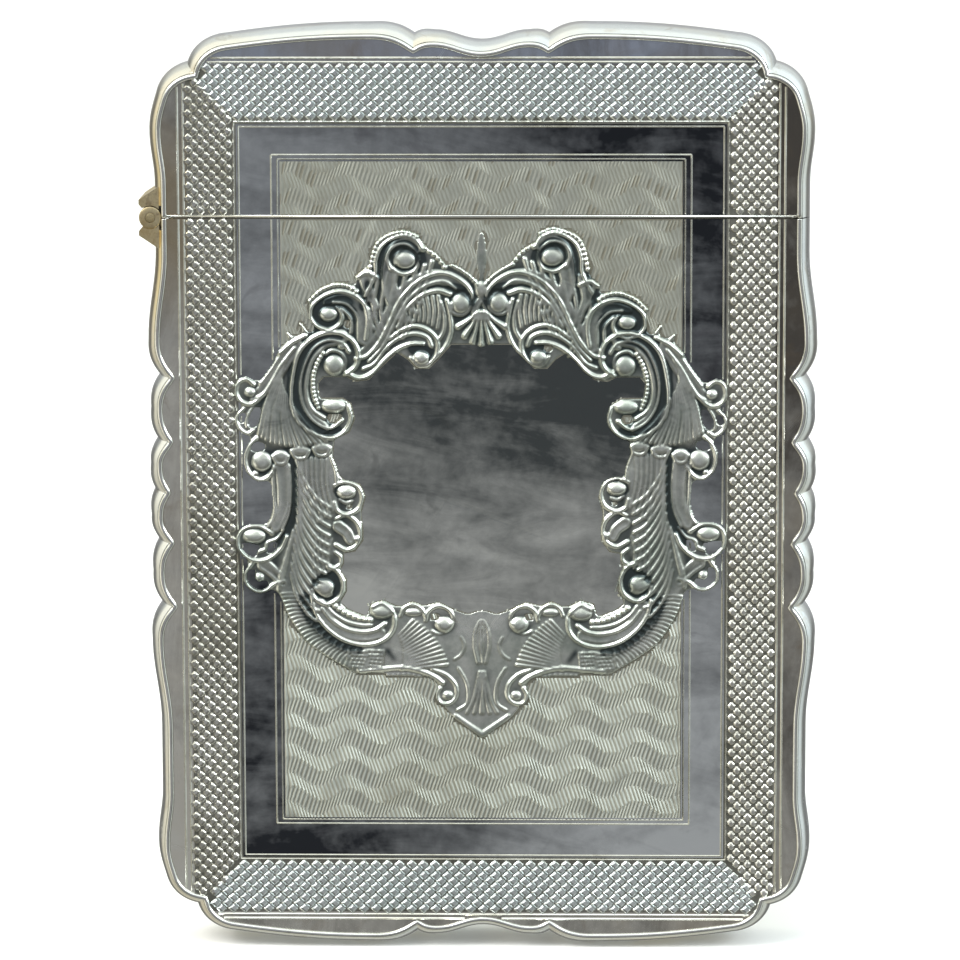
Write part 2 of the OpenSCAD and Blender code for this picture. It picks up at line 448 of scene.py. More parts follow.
    def tone(self):
        """How far each point stands above its surroundings, from 0 in a recess to 1."""
        above = self.h - blurred(self.h, int(TONE_RADIUS / self.step), 2)
        # Painted shade: the strokes darken the tone, less where ornament stands high above its
        # surroundings.
        painted_shade = blurred(self.painted_shade, 2, 2) * np.clip(1 - above / PAINTED_SHADE_LIFT, 0, 1)
        # Lighter towards the bottom of the case
        lightened = LOWER_LIGHTENING * np.clip((LIGHTENED_BELOW - self.zs[:, None]) / 3, 0, 1)
        return np.clip(0.5 + lightened + above / TONE_REACH - PAINTED_SHADE_DEPTH * painted_shade, 0, 1)

    def mesh(self, side, cells, mirror, tone):
        """Verts, quads and tones of the chosen cells. The rim of the sheet is turned down."""
        quads, count = cell_quads(cells)
        used = count > 0
        in_the_middle = np.abs(self.xs)[None, :] < self.step / 2
        rim = used & (count < 4) & ~(in_the_middle & (count == 2))
        h = np.where(rim, TURNED_DOWN, self.h)
        gx, gz = self.grid()
        verts = side.place(gx[used] * (-1 if mirror else 1), gz[used], h[used])
        return verts, quads[:, ::-1] if mirror else quads, tone[used]


# Outer edge of the chased frame on the left half, from the top to the bottom of the case
FRAME_OUTER = [
    (0.4, 72.6), (-0.9, 72.8), (-2.2, 74), (-4, 75.3), (-5.6, 76.6), (-7, 78), (-8.5, 78.3),
    (-10.2, 77.9), (-11.4, 76.6), (-11.8, 74.6), (-13.5, 74), (-13.6, 72.8), (-15.6, 72.8),
    (-17.8, 71.8), (-18.7, 70.2), (-18.5, 68.8), (-20.8, 67.6), (-21.9, 65.6), (-22.3, 63.8),
    (-23.6, 62.2), (-25, 62.9), (-26.5, 61.6), (-26.5, 57), (-25.2, 56.1), (-25.7, 53.6),
    (-25.2, 51.6), (-23.6, 51.1), (-22.8, 51), (-22.7, 47.2), (-25.4, 46.8), (-26.6, 45.2),
    (-26.3, 43.4), (-25.5, 42.3), (-25.7, 40.5), (-24.9, 39.2), (-23.6, 38.9), (-22.4, 39.4),
    (-21.7, 38.6), (-20.7, 36.4), (-18.8, 33.6), (-16.2, 31.8), (-14, 30.2), (-11, 29.9),
    (-7, 29.6), (-5.5, 29.2), (-5.3, 28), (-4.8, 26.7), (-3.2, 25.3), (0.4, 22.9),
]
# Edge of the plain shield inside the chased frame, from the top to the bottom
SHIELD_EDGE = [
    (0.4, 65.6), (-1.6, 66), (-3.2, 66), (-4.4, 64.6), (-5.6, 63.4), (-7, 63.4), (-7.9, 64.4),
    (-9, 65.1), (-10.6, 63.6), (-12, 62.2), (-13.4, 62), (-14.4, 62.5), (-16.8, 62.5),
    (-17.4, 61.8), (-17.2, 60.3), (-14.8, 60.3), (-13.9, 59.7), (-13.5, 58), (-14.1, 56.5),
    (-15.7, 55.8), (-15.9, 54), (-15.3, 52), (-14.5, 51.3), (-13, 51), (-12.4, 49.6),
    (-12.9, 47.8), (-12.7, 46.2), (-12.7, 44.8), (-13.6, 43.6), (-14.8, 43.4), (-14.8, 42.3),
    (-15.2, 41.6), (-14.5, 40.6), (-14.5, 39.3), (-15.2, 38.1), (-14.4, 37.4), (-12.4, 36.6),
    (-12, 38), (-10.6, 38.4), (-9.3, 37.8), (-8.6, 37.7), (-7.5, 38.3), (-6.3, 37.8),
    (-4.7, 38.2), (-3, 37.4), (-1.5, 36.9), (-0.7, 37.2), (0.4, 37.4),
]


def crest(r):
    """The acanthus crest over each shoulder."""
    r.blade([(-8.8, 69.5), (-9.7, 72), (-9.8, 74.3), (-9.2, 76.2), (-8, 76.9), (-6.9, 76.3)],
            0.9, 0.6, 0.35)
    for x0, x1, z1 in ((-12.2, -11.9, 71.6), (-11.5, -11, 73.1), (-10.7, -10, 73.7),
                       (-9.9, -9, 73.6), (-9.1, -8, 73.5), (-8.3, -7, 73.8), (-7.4, -6, 74.5),
                       (-6.8, -5.2, 74.9)):
        r.ridge([(x0 * 0.45 - 5.3, 66.6), (x0, 69.6), (x1, z1)], 0.12, 0.3, 0.36)
    r.ridge([(-12.4, 71.2), (-11.3, 73.4), (-11.2, 75), (-10.6, 76.5), (-9.4, 77.4),
             (-8.1, 77.7), (-6.9, 77.2), (-6.2, 76.1)], 0.24, 0.24, 0.55)
    r.ridge([(-9.6, 74), (-10, 75.4), (-9.3, 76.5), (-8, 76.8), (-7, 76), (-6.7, 74.9),
             (-7.2, 73.9), (-8.4, 73.6), (-9.5, 74.2)], 0.2, 0.3, 0.5)
    r.eye(-8.1, 75.1, 1.15, 1.0)
    r.beads([(-11.9, 73.8), (-11.6, 75.4), (-11, 76.9), (-9.6, 77.8), (-8.1, 78.1),
             (-6.8, 77.6)], 0.5, 0.24, 0.4)
    r.beads([(-6, 76.3), (-5.2, 75.8), (-4.4, 75.1), (-3.9, 74.3)], 0.5, 0.26, 0.42)
    r.paint_shade([(-10.8, 73.6), (-10.6, 75), (-9.8, 76.2), (-8.6, 76.7), (-7.2, 76.3), (-6.4, 75.1)],
            0.7, 0.5, 0.3)
    r.paint_shade([(-12, 72.4), (-12.2, 71.2), (-12.6, 70)], 0.6, 0.4)


def shoulder_curl(r):
    """The curled leaf outside each crest."""
    r.blade([(-12.4, 66.8), (-12.3, 68.8), (-13, 70.3), (-14.6, 71), (-16.4, 70.6)],
            0.9, 0.4, 0.32)
    r.ridge([(-12.3, 66.6), (-12.1, 69), (-12.8, 70.8), (-14.6, 71.7), (-16.4, 71.4),
             (-17.9, 70.3), (-18.2, 69), (-17.5, 68), (-16.2, 67.6), (-15.1, 68.2),
             (-14.8, 69.2), (-15.4, 70)], 0.26, 0.2, 0.58)
    r.ridge([(-13.1, 66.9), (-13.2, 69), (-14.3, 70.3), (-15.8, 70.6)], 0.16, 0.22, 0.48)
    r.ridge([(-13.9, 67.2), (-13.9, 68.8), (-14.9, 69.9)], 0.14, 0.2, 0.44)
    r.eye(-16.3, 69.3, 0.95, 0.75)
    r.paint_shade([(-17.7, 68), (-17.6, 69.6), (-16.4, 70.6), (-14.6, 70.5), (-13.5, 69)], 0.6, 0.6, 0.4)
    r.beads([(-18.3, 70.7), (-17.1, 71.8), (-15.6, 72.4), (-14.2, 72.3), (-13.3, 71.7)],
            0.5, 0.25, 0.42)
    r.blade([(-12.3, 73.3), (-12, 71.8), (-11.2, 70)], 0.7, 0.3, 0.4)
    r.ridge([(-13.2, 73.2), (-12.2, 73.7), (-11.2, 73.3)], 0.3, 0.3, 0.55)
    for x, z in ((-10.4, 66.6), (-11, 67), (-11.7, 67.2)):
        r.ridge([(x + 0.5, z - 1.2), (x, z), (x - 0.2, z + 2.6)], 0.1, 0.2, 0.3)


def s_scroll(r):
    """The long scroll that runs up from the shoulder to the palmette."""
    r.blade([(-12.8, 64.9), (-11.2, 66.3), (-10, 68.4), (-8.7, 70.8), (-7, 72.4), (-5, 73.2),
             (-3, 72.8), (-1.8, 71.8)], 0.5, 0.6, 0.3, swell=0.35)
    r.ridge([(-13.4, 64.5), (-12.2, 64.8), (-10.9, 66.3), (-9.8, 68.4), (-8.6, 70.9),
             (-6.6, 72.9), (-4.2, 73.7), (-2.3, 73), (-1.1, 71.7), (-1.1, 70.1),
             (-1.9, 69.2), (-3, 69.4), (-3.3, 70.4)], 0.22, 0.22, 0.6)
    r.ridge([(-12, 64.2), (-10.4, 66), (-9.2, 68.4), (-7.8, 70.8), (-6, 72.3), (-4, 72.8),
             (-2.7, 72)], 0.18, 0.18, 0.5)
    r.ridge([(-9, 67.8), (-8, 69.8), (-6.5, 71.2), (-4.7, 71.8), (-3.3, 71.4)],
            0.2, 0.34, 0.5)
    r.eye(-2.2, 70.4, 1.0, 1.05)
    r.ridge([(-14.4, 63), (-13.1, 62.4), (-11.7, 62.9), (-10.4, 64.3), (-9, 65.5),
             (-7.5, 66.1), (-6.2, 66.1)], 0.28, 0.2, 0.6)
    r.ridge([(-12.6, 63.4), (-11.4, 64), (-10.2, 65.6), (-8.8, 66.7), (-7.2, 67.2),
             (-5.8, 66.8), (-5.3, 65.8)], 0.2, 0.24, 0.44)
    r.ridge([(-9.8, 66.6), (-8.5, 67.6), (-7, 68), (-5.6, 67.5), (-4.7, 66.4), (-4.8, 65),
             (-5.7, 63.9), (-6.9, 63.8), (-7.5, 64.6)], 0.2, 0.24, 0.54)
    r.eye(-6.4, 64.6, 0.85, 0.75)
    r.ridge([(-3.7, 70.8), (-3.3, 69), (-3.2, 67.4), (-3.9, 65.7), (-5.3, 64.2)],
            0.2, 0.2, 0.52)
    r.ridge([(-4.3, 70.6), (-3.9, 69), (-4, 67.5), (-4.5, 66.6)], 0.14, 0.18, 0.4)
    r.paint_shade([(-3.2, 72.2), (-1.8, 71.8), (-1.1, 70.6)], 0.5, 0.6)
    r.paint_shade([(-7.3, 65.6), (-6, 65.2), (-5.2, 64.6)], 0.5, 0.5)
    r.between([(-8.5, 67.9), (-7.4, 68.4), (-6, 68.4), (-4.7, 67.7)],
              [(-8.3, 69), (-7.3, 70.3), (-6, 71.1), (-4.6, 71.3)], 9, 0.13, 0.24, 0.4)


def palmette(r):
    """The palmette and engraved spindle in the middle."""
    r.region([(0.4, 78.2), (-0.3, 78.1), (-0.55, 76.6), (-0.6, 74.6), (0.4, 72.6)], 0.07, 1)
    r.ridge([(0, 78), (-0.35, 76.8), (-0.42, 74.8), (0, 72.8)], 0.1, 0.14, 0.2)
    r.beads([(-3.1, 74.5), (-2, 73.9), (-1.1, 73.2), (-0.5, 72.5)], 0.4, 0.22, 0.4)
    r.dome(0, 71.9, 0.7, 0.9, 0.5)
    r.blade([(0, 71), (-0.6, 70), (-0.7, 69)], 0.3, 0.4, 0.4)
    for x, z in ((-2.5, 67.9), (-1.8, 66.9), (-0.95, 66.3), (0, 66)):
        r.ridge([(x * 0.15, 69.6), (x * 0.55, (z + 69.6) / 2 - 0.1), (x, z)], 0.14, 0.38, 0.56)
    r.groove([(0, 69.4), (0, 66.4)], 0.1, 0.1)


def upper_c_scroll(r):
    """The C scroll with its row of beads beside the shield."""
    r.blade([(-15, 66.8), (-17, 66.4), (-18.6, 64.8), (-19.3, 62.6), (-19.4, 60.2),
             (-18.6, 58.2), (-17, 57)], 0.8, 0.7, 0.34, swell=0.2)
    r.ridge([(-14.5, 62.8), (-13.4, 63.7), (-13.1, 65), (-13.6, 66.3), (-14.9, 67.2),
             (-16.6, 67.3), (-18.3, 66.5), (-19.5, 65), (-20.1, 62.8), (-20.3, 60.3),
             (-19.9, 58.4), (-18.8, 57), (-17.3, 56.2), (-15.8, 56), (-14.5, 56.8),
             (-13.9, 58.1), (-14.2, 59.4)], 0.28, 0.24, 0.64)
    r.ridge([(-14.1, 65.2), (-14.8, 66.2), (-16.3, 66.5), (-17.8, 65.7), (-18.8, 64),
             (-19.3, 62), (-19.2, 60.2), (-18.7, 58.8), (-17.7, 57.6), (-16.2, 57),
             (-14.9, 57.9)], 0.2, 0.22, 0.54)
    r.ridge([(-16.8, 65.7), (-18, 64.3), (-18.6, 62.3), (-18.6, 60.4), (-18, 59),
             (-16.8, 58.1)], 0.18, 0.22, 0.46)
    r.beads([(-16.9, 65.1), (-17.5, 64), (-17.9, 62.8), (-18, 61.5), (-17.8, 60.2),
             (-17.4, 59.2)], 0.43, 0.2, 0.42, base=0.2)
    r.ridge([(-16.6, 64.9), (-16, 65.4), (-15, 65.1), (-14.5, 64.2), (-14.6, 63.2)],
            0.16, 0.2, 0.44)
    r.eye(-15.7, 63.8, 1.05, 1.05)
    r.paint_shade([(-15, 66.8), (-17.8, 66), (-19.4, 63.4), (-19.8, 60.4), (-19, 58), (-17.4, 56.8),
             (-15.4, 56.6)], 0.35, 0.6, 0.5)
    r.dome(-14.9, 65.8, 0.38, 0.3, 0.5)
    r.eye(-15.8, 59.4, 1.25, 0.7)


def outer_leaf(r):
    """The leaf that rolls down into the plain border, and the loop under it."""
    r.blade([(-19.8, 66), (-21.3, 63.8), (-22.6, 61.9), (-24.2, 60.2)], 0.7, 0.5, 0.3, 0.2)
    r.ridge([(-18.7, 67), (-20.2, 66.2), (-21.5, 65.1)], 0.24, 0.3, 0.55)
    r.ridge([(-19.9, 65.7), (-21.3, 63.9), (-22.4, 62), (-23.4, 60.5), (-24.6, 59.6),
             (-25.7, 59.9), (-26.2, 60.9), (-25.9, 62), (-25, 62.3), (-24.3, 61.7)],
            0.2, 0.26, 0.55)
    r.ridge([(-20.6, 64.6), (-21.6, 62.8), (-22.8, 61.2), (-24, 60.3)], 0.14, 0.2, 0.42)
    r.ridge([(-20.4, 66.2), (-21.6, 64.6), (-22.7, 63), (-23.6, 61.8)], 0.14, 0.2, 0.42)
    r.eye(-24.7, 60.9, 0.55, 0.5, 0.55)
    r.ridge([(-19.3, 68.3), (-18.7, 67.4)], 0.16, 0.2, 0.3)
    r.ridge([(-20.7, 67.3), (-20.3, 66.7)], 0.16, 0.2, 0.3)
    r.ridge([(-25.3, 59.2), (-26.2, 58.2), (-25.9, 57), (-25, 56.4), (-24.4, 56.8)],
            0.16, 0.22, 0.42)
    r.ridge([(-24.4, 59.3), (-25.1, 58), (-25, 57.1)], 0.14, 0.2, 0.34)


def pleated_fan(r):
    """The pleated shell that hangs under the C scroll, with its lobes and ball."""
    r.region([(-20.6, 63.4), (-22, 60), (-23.9, 56.2), (-22.4, 55), (-19, 54.9), (-16.2, 55.3),
              (-18.8, 57.2), (-20.2, 60)], 0.2)
    r.between([(-21.3, 63.2), (-21.2, 61.6), (-20.6, 60.4), (-19.8, 59)],
              [(-23.8, 56.4), (-22.6, 55.6), (-21, 55.2), (-19, 55.2), (-16.6, 55.6)],
              15, 0.08, 0.2, 0.42, base=0.1)
    r.ridge([(-24, 56), (-24.9, 55), (-25.3, 53.6), (-24.9, 52.2), (-23.8, 51.4),
             (-22.8, 51.8), (-22.2, 52.8)], 0.22, 0.24, 0.56)
    r.eye(-23.5, 53.4, 1.1, 1.05)
    r.dome(-24.2, 52.1, 0.28, 0.28, 0.4)
    for x, z, rx in ((-21.5, 54, 0.85), (-19.4, 54.6, 1.0), (-17.1, 54.9, 0.95)):
        r.dome(x, z, rx, 0.62, 0.5)
        r.ridge([(x - rx, z), (x - rx * 0.6, z - 0.7), (x, z - 0.85), (x + rx * 0.6, z - 0.7),
                 (x + rx, z)], 0.18, 0.18, 0.5)


def side_acanthus(r):
    """The tall leaf down each side, with curls towards the shield."""
    r.region([(-20, 53.8), (-16.2, 53.8), (-15.5, 51.5), (-15.4, 48), (-16.2, 46), (-15.8, 43.5),
              (-16.5, 42), (-17.8, 38.5), (-20.8, 38.2), (-22.2, 39.8), (-21.4, 44),
              (-20.2, 46.5), (-19.8, 50)], 0.2)
    for k in range(13):
        z = 53.6 - 1.02 * k
        lean = 0.06 * k
        left = -19.8 - (0.12 * (k - 6) if k > 6 else 0)
        r.ridge([(left, z), (left + 0.7, z - 2 - lean), (left + 2.1, z - 4.1 - lean),
                 (left + 3.6 - lean, z - 5.2)], 0.1, 0.24, 0.42, base=0.1)
    for k in range(5):
        r.ridge([(-20.2 - 0.3 * k, 46 - k), (-20.7 - 0.28 * k, 43.6 - 0.8 * k),
                 (-21.2 - 0.15 * k, 41.4 - 0.5 * k)], 0.12, 0.2, 0.34, base=0.1)
    r.between([(-19.3, 53.9), (-17.8, 53.9), (-16.5, 53.8)],
              [(-17.9, 46.6), (-17, 47.2), (-15.9, 48)], 6, 0.08, 0.16, 0.34, base=0.1)
    r.between([(-17.6, 45.6), (-16.9, 45.4), (-16.1, 45)],
              [(-17.9, 40.6), (-17.3, 40.9), (-16.4, 41.4)], 4, 0.08, 0.14, 0.3, base=0.1)
    r.ridge([(-16.2, 54), (-15.6, 52.4), (-15.5, 51)], 0.16, 0.2, 0.46)
    r.ridge([(-15.8, 50.8), (-14.6, 51.2), (-13.3, 50.7), (-12.8, 49.6), (-13.2, 48.3),
             (-14.3, 47.7), (-15.4, 48), (-15.8, 49)], 0.18, 0.24, 0.52)
    r.eye(-14.5, 50.1, 1.0, 0.7)
    r.ridge([(-15.2, 49.3), (-14.6, 48.9), (-13.9, 49.1)], 0.14, 0.18, 0.36)
    r.ridge([(-15.6, 47.2), (-14.5, 47.6), (-13.4, 46.8), (-13, 45.6), (-13.4, 44.4),
             (-14.5, 43.8), (-15.7, 44.4)], 0.2, 0.24, 0.52)
    r.blade([(-15.4, 46.4), (-14.5, 45.7), (-14.1, 44.9)], 0.6, 0.5, 0.4)
    r.dome(-13.4, 45, 0.32, 0.32, 0.55)
    r.ridge([(-15.8, 43.6), (-15.1, 43), (-15.2, 42.2), (-16, 41.9), (-16.7, 42.4)],
            0.16, 0.2, 0.46)
    r.ridge([(-16.6, 42), (-15.5, 41.5), (-14.9, 40.2), (-15.3, 38.7), (-16.6, 37.9),
             (-17.8, 38.4), (-18.2, 39.5)], 0.22, 0.26, 0.58)
    r.eye(-16.9, 39.7, 1.05, 0.95)
    r.paint_shade([(-17.9, 40.2), (-16.9, 41), (-15.8, 40.6), (-15.5, 39.2)], 0.4, 0.5)
    r.paint_shade([(-20, 53), (-20, 50), (-20.4, 47), (-21.6, 44.6)], 0.3, 0.5)
    r.ridge([(-17.3, 38.9), (-16.7, 38.7), (-16.1, 39)], 0.12, 0.16, 0.4)
    r.blade([(-21.4, 53), (-21.2, 50.6), (-21.3, 48.4), (-22.1, 46.3)], 0.75, 0.55, 0.3)
    r.ridge([(-22.3, 53), (-22.3, 50), (-22.2, 47.8), (-22.9, 46.3)], 0.14, 0.16, 0.42)
    r.ridge([(-20.6, 53), (-20.4, 50.5), (-20.6, 48), (-21.4, 46)], 0.14, 0.16, 0.42)


def lower_curls(r):
    """The two curls that stand on the plain border below the side leaf."""
    r.ridge([(-20.9, 45.3), (-21.6, 43.9), (-23, 42.8), (-24.6, 42.7), (-25.9, 43.7),
             (-26.2, 45), (-25.5, 46.1), (-24, 46.4), (-22.8, 45.8)], 0.24, 0.22, 0.56)
    r.ridge([(-21.2, 46), (-22, 45), (-23, 44.6), (-23.2, 43.9), (-24, 43.6)], 0.14, 0.2, 0.4)
    r.eye(-24.4, 45.3, 1.2, 0.75)
    r.dome(-22.5, 45.6, 0.28, 0.28, 0.4)
    r.blade([(-23.4, 42.2), (-22.4, 41.4), (-21.4, 40.2)], 0.7, 0.5, 0.34)
    r.groove([(-23.6, 42), (-22.2, 41), (-21.2, 40)], 0.2, 0.1)
    r.ridge([(-24.6, 42.4), (-25.4, 41.2), (-25.2, 40), (-24.2, 39.3), (-23.2, 39.4),
             (-22.3, 40.1), (-21.3, 40.4)], 0.2, 0.22, 0.5)
    r.eye(-23.9, 40.8, 0.5, 0.5, 0.5)


def lower_c_scroll(r):
    """The C scroll under the shield with its bricked and ribbed outer edge."""
    r.region([(-21.6, 39.2), (-18.4, 39.4), (-17, 36), (-14, 33.6), (-11, 33.4), (-9.6, 34),
              (-9, 31.2), (-13.6, 30.4), (-16.2, 32), (-18.6, 33.8), (-20.6, 36.6)], 0.12)
    outer = [(-18.8, 38.9), (-18.4, 37.2), (-17.2, 35.3), (-15.4, 33.8), (-13.2, 33), (-11, 32.9)]
    brick = [(-19.5, 39), (-19, 37), (-17.7, 34.9), (-15.7, 33.3), (-13.3, 32.4), (-11, 32.3)]
    edge = [(-21.6, 39), (-20.8, 36.6), (-19, 33.9), (-16.4, 32), (-13.8, 30.8), (-11.4, 30.9)]
    r.between(brick, edge, 30, 0.1, 0.16, 0.42)
    r.ridge(brick, 0.12, 0.12, 0.34)
    r.between(outer, brick, 15, 0.17, 0.17, 0.36)
    r.paint_shade([(-19.1, 38.4), (-18.6, 36.8), (-17.2, 34.9), (-15.4, 33.5), (-13.4, 32.9)], 0.9, 0.6)
    r.ridge([(-18.3, 38.6), (-17.9, 37), (-16.8, 35.4), (-15.1, 34.1), (-13.1, 33.5),
             (-11.3, 33.7), (-10, 34.5), (-9.4, 35.7), (-9.6, 37.1), (-10.7, 38),
             (-11.9, 37.6)], 0.26, 0.24, 0.62)
    r.blade([(-17.4, 38), (-16.6, 36.4), (-15, 35), (-13, 34.4), (-11, 34.7)], 0.6, 0.6, 0.3)
    r.ridge([(-17.2, 37.5), (-16.2, 36.2), (-14.8, 35.3), (-13, 34.9), (-11.5, 35.1),
             (-10.4, 35.8)], 0.18, 0.24, 0.54)
    r.ridge([(-16.8, 38), (-16, 36.9), (-14.6, 36), (-13, 35.6), (-11.9, 35.6)],
            0.14, 0.18, 0.44)
    r.beads([(-15.8, 37.7), (-14.9, 37.1), (-13.9, 36.6), (-12.9, 36.3), (-12, 36.2)],
            0.52, 0.25, 0.45, base=0.15)
    r.eye(-10.8, 37.1, 1.2, 0.75)
    for column, (x0, x1) in enumerate(((-14.1, -12.5), (-12.2, -10.8))):
        for k in range(5):
            z = 31 + 0.42 * k + 0.08 * column
            r.ridge([(x0, z + 0.1), (x1, z)], 0.11, 0.11, 0.42, base=0.05)
    for x in (-14.4, -12.35, -10.6):
        r.ridge([(x, 32.9), (x - 0.2, 31.1)], 0.11, 0.11, 0.42, base=0.05)
    r.paint_shade([(-10.2, 32.9), (-9.7, 32.2), (-9.4, 31.8)], 0.3, 0.2)


def lower_frieze(r):
    """The rays, small scrolls and point under the shield."""
    r.region([(0.4, 37.2), (-0.7, 37), (-1.5, 36.7), (-3, 37), (-5.6, 36), (-5.6, 31),
              (-2.6, 28), (-4.4, 26.2), (0.4, 23.4)], 0.065)
    r.region([(-9.6, 36.6), (-7, 36.6), (-4.2, 34.4), (-3.8, 32.2), (-5.2, 30.8), (-10.5, 31)],
             0.14)
    r.fan((-13, 30.2), (7, 47), (4.2, 5.9), (9.3, 8.2), 13, 0.08, 0.2, 0.46)
    r.ridge([(-8.8, 36.6), (-8.3, 37.6), (-7.4, 37.9), (-6.5, 37.4), (-6.1, 36.6)],
            0.18, 0.2, 0.46)
    r.dome(-7.4, 37, 0.95, 0.4, 0.45)
    ring = [(-4.6 + 1.5 * math.cos(a), 36.2 + 1.5 * math.sin(a))
            for a in np.linspace(-2.2, 3.2, 9)]
    r.ridge(ring, 0.16, 0.2, 0.44)
    r.eye(-4.1, 35.7, 0.95, 0.8)
    r.ridge([(-13.2, 30.6), (-11, 30.8), (-8.6, 31), (-6.6, 30.6), (-5.2, 30), (-4.3, 29.3)],
            0.3, 0.34, 0.5)
    r.beads([(-10.2, 30.1), (-8, 30.2), (-6.8, 30)], 0.5, 0.16, 0.24, 0)
    r.ridge([(-5.4, 30.8), (-3.9, 30.2), (-2.9, 29.1), (-2.8, 27.9), (-3.5, 27.1),
             (-4.5, 27.1), (-4.9, 28), (-4.5, 28.8)], 0.2, 0.22, 0.52)
    r.dome(-3.7, 27.9, 0.55, 0.5, 0.5)
    r.ridge([(-2.6, 31), (-1.8, 29.6), (-1.5, 28.2), (-1.7, 27), (-2.7, 26.3)],
            0.14, 0.18, 0.42)
    r.ridge([(-2.9, 25.7), (-1.4, 24.6), (0, 23.6)], 0.34, 0.5, 0.36)
    r.ridge([(-0.2, 36.2), (-0.75, 35), (-0.85, 33.4), (-0.45, 31.5)], 0.12, 0.18, 0.36)
    r.ridge([(0, 36.2), (-0.2, 34.4), (0, 31.5)], 0.1, 0.16, 0.3)
    for x in (-0.15, -0.9, -1.7):
        r.ridge([(x * 0.2, 30.6), (x * 0.4, 28.8), (x * 0.6, 27.4), (x, 26)], 0.12, 0.2, 0.36)
    r.ridge([(-2.3, 34.4), (-1.9, 33.4), (-2.3, 32.4), (-3, 31.9)], 0.12, 0.16, 0.34)
    r.paint_shade([(-0.45, 30.4), (-0.5, 28.6), (-0.6, 27.2)], 0.1, 0.12)


# Each motif with how far its twin on the right half is moved, as hand work never quite repeats
MOTIFS = [
    (palmette, (0, 0)), (crest, (0.6, 0.3)), (shoulder_curl, (0.8, -0.9)), (s_scroll, (0.4, 0.1)),
    (upper_c_scroll, (0.4, -0.1)), (outer_leaf, (0.2, -0.2)), (pleated_fan, (0.3, 0.2)),
    (side_acanthus, (0.1, 0.4)), (lower_curls, (0.2, 0.3)), (lower_c_scroll, (0.2, -0.2)),
    (lower_frieze, (0.1, 0)),
]


def chased_frame(twin):
    """Half of the chased frame round the shield. The twin is the right half, mirrored."""
    r = Relief((-27, 0), (22.5, BODY_TOP - 0.2), 0.1)
    for motif, move in MOTIFS:
        r.shift = np.array(move if twin else (0, 0), float)
        motif(r)
    raised = (r.h > RAISED).astype(float)
    gx, gz = r.grid()
    shield = inside(SHIELD_EDGE + [(0.4, 50)], gx, gz)
    in_frame = inside(FRAME_OUTER, gx, gz) & ~shield
    kept = (blurred(raised, 1) > 0.05) | in_frame & (blurred(raised, 5, 2) > 0.3)
    kept |= in_frame & (blurred(shield.astype(float), 8, 2) > 0.04)
    kept = blurred(kept.astype(float), 2, 2) > 0.5
    fading = np.clip(np.maximum(37.4 - gz, -gx - 2.5) / 4, GROUND_FADE, 1)
    r.h = blurred(GROUND * fading * in_frame + RELIEF_SCALE * np.maximum(r.h, 0), 1)
    r.h += 0.012 * soft_noise(r.h.shape, 4, 31 + twin) + 0.02 * soft_noise(r.h.shape, 20, 5 + twin)
    cells = kept[:-1, :-1] & kept[1:, :-1] & kept[:-1, 1:] & kept[1:, 1:]
    return r, kept, cells


# ---------------------------------------------------------------- layout of the faces

# Rectangles round the centre: half width, reach above the centre, reach below it
RIM_OUTER = (32.15, 46.5, 46.8)
RIM_INNER = (31.55, 46.05, 46.35)
HOBNAIL_OUTER = (31.25, 45.75, 46.05)
HOBNAIL_INNER = (26.5, 40.0, 40.5)
BAND_LINE = (26.2, 39.75, 40.2)
BAND_OUTER = (25.95, 39.5, 39.95)
BAND_LINE_2 = (25.7, 39.25, 39.75)
PANEL_LINE = (22.25, 36.25, 36.25)
PANEL_LINE_2 = (21.6, 35.8, 35.8)
PANEL = (21.35, 35.55, 35.55)
EDGE_CLEAR = 0.5
SEAM_CLEAR = 0.36
BEAD_R, BEAD_INSET, BEAD_LIFT = 0.3, 0.14, 0.02
BURIED = -0.02           # how far raised work reaches into the plate


def in_rectangle(x, z, rect):
    up = z - CENTRE_Z
    return (np.abs(x) < rect[0]) & (up < rect[1]) & (-up < rect[2])


def shield_outline():
    left = np.array(SHIELD_EDGE[1:-1], float)
    return np.concatenate([left, left[::-1] * [-1, 1]])


def face_region(x, z):
    """Which finish a point of a plate has: 0 rim, 1 hobnail ground, 2 band, 3 panel, 4 shield."""
    region = np.zeros(np.shape(x), int)
    region[in_rectangle(x, z, HOBNAIL_OUTER)] = 1
    region[in_rectangle(x, z, BAND_OUTER)] = 2
    region[in_rectangle(x, z, PANEL)] = 3
    region[inside(shield_outline(), x, z)] = 4
    return region


def corners_of(rect):
    """An anticlockwise rectangle round the centre."""
    a, up, down = rect
    return [(a, CENTRE_Z + up), (-a, CENTRE_Z + up), (-a, CENTRE_Z - down), (a, CENTRE_Z - down)]


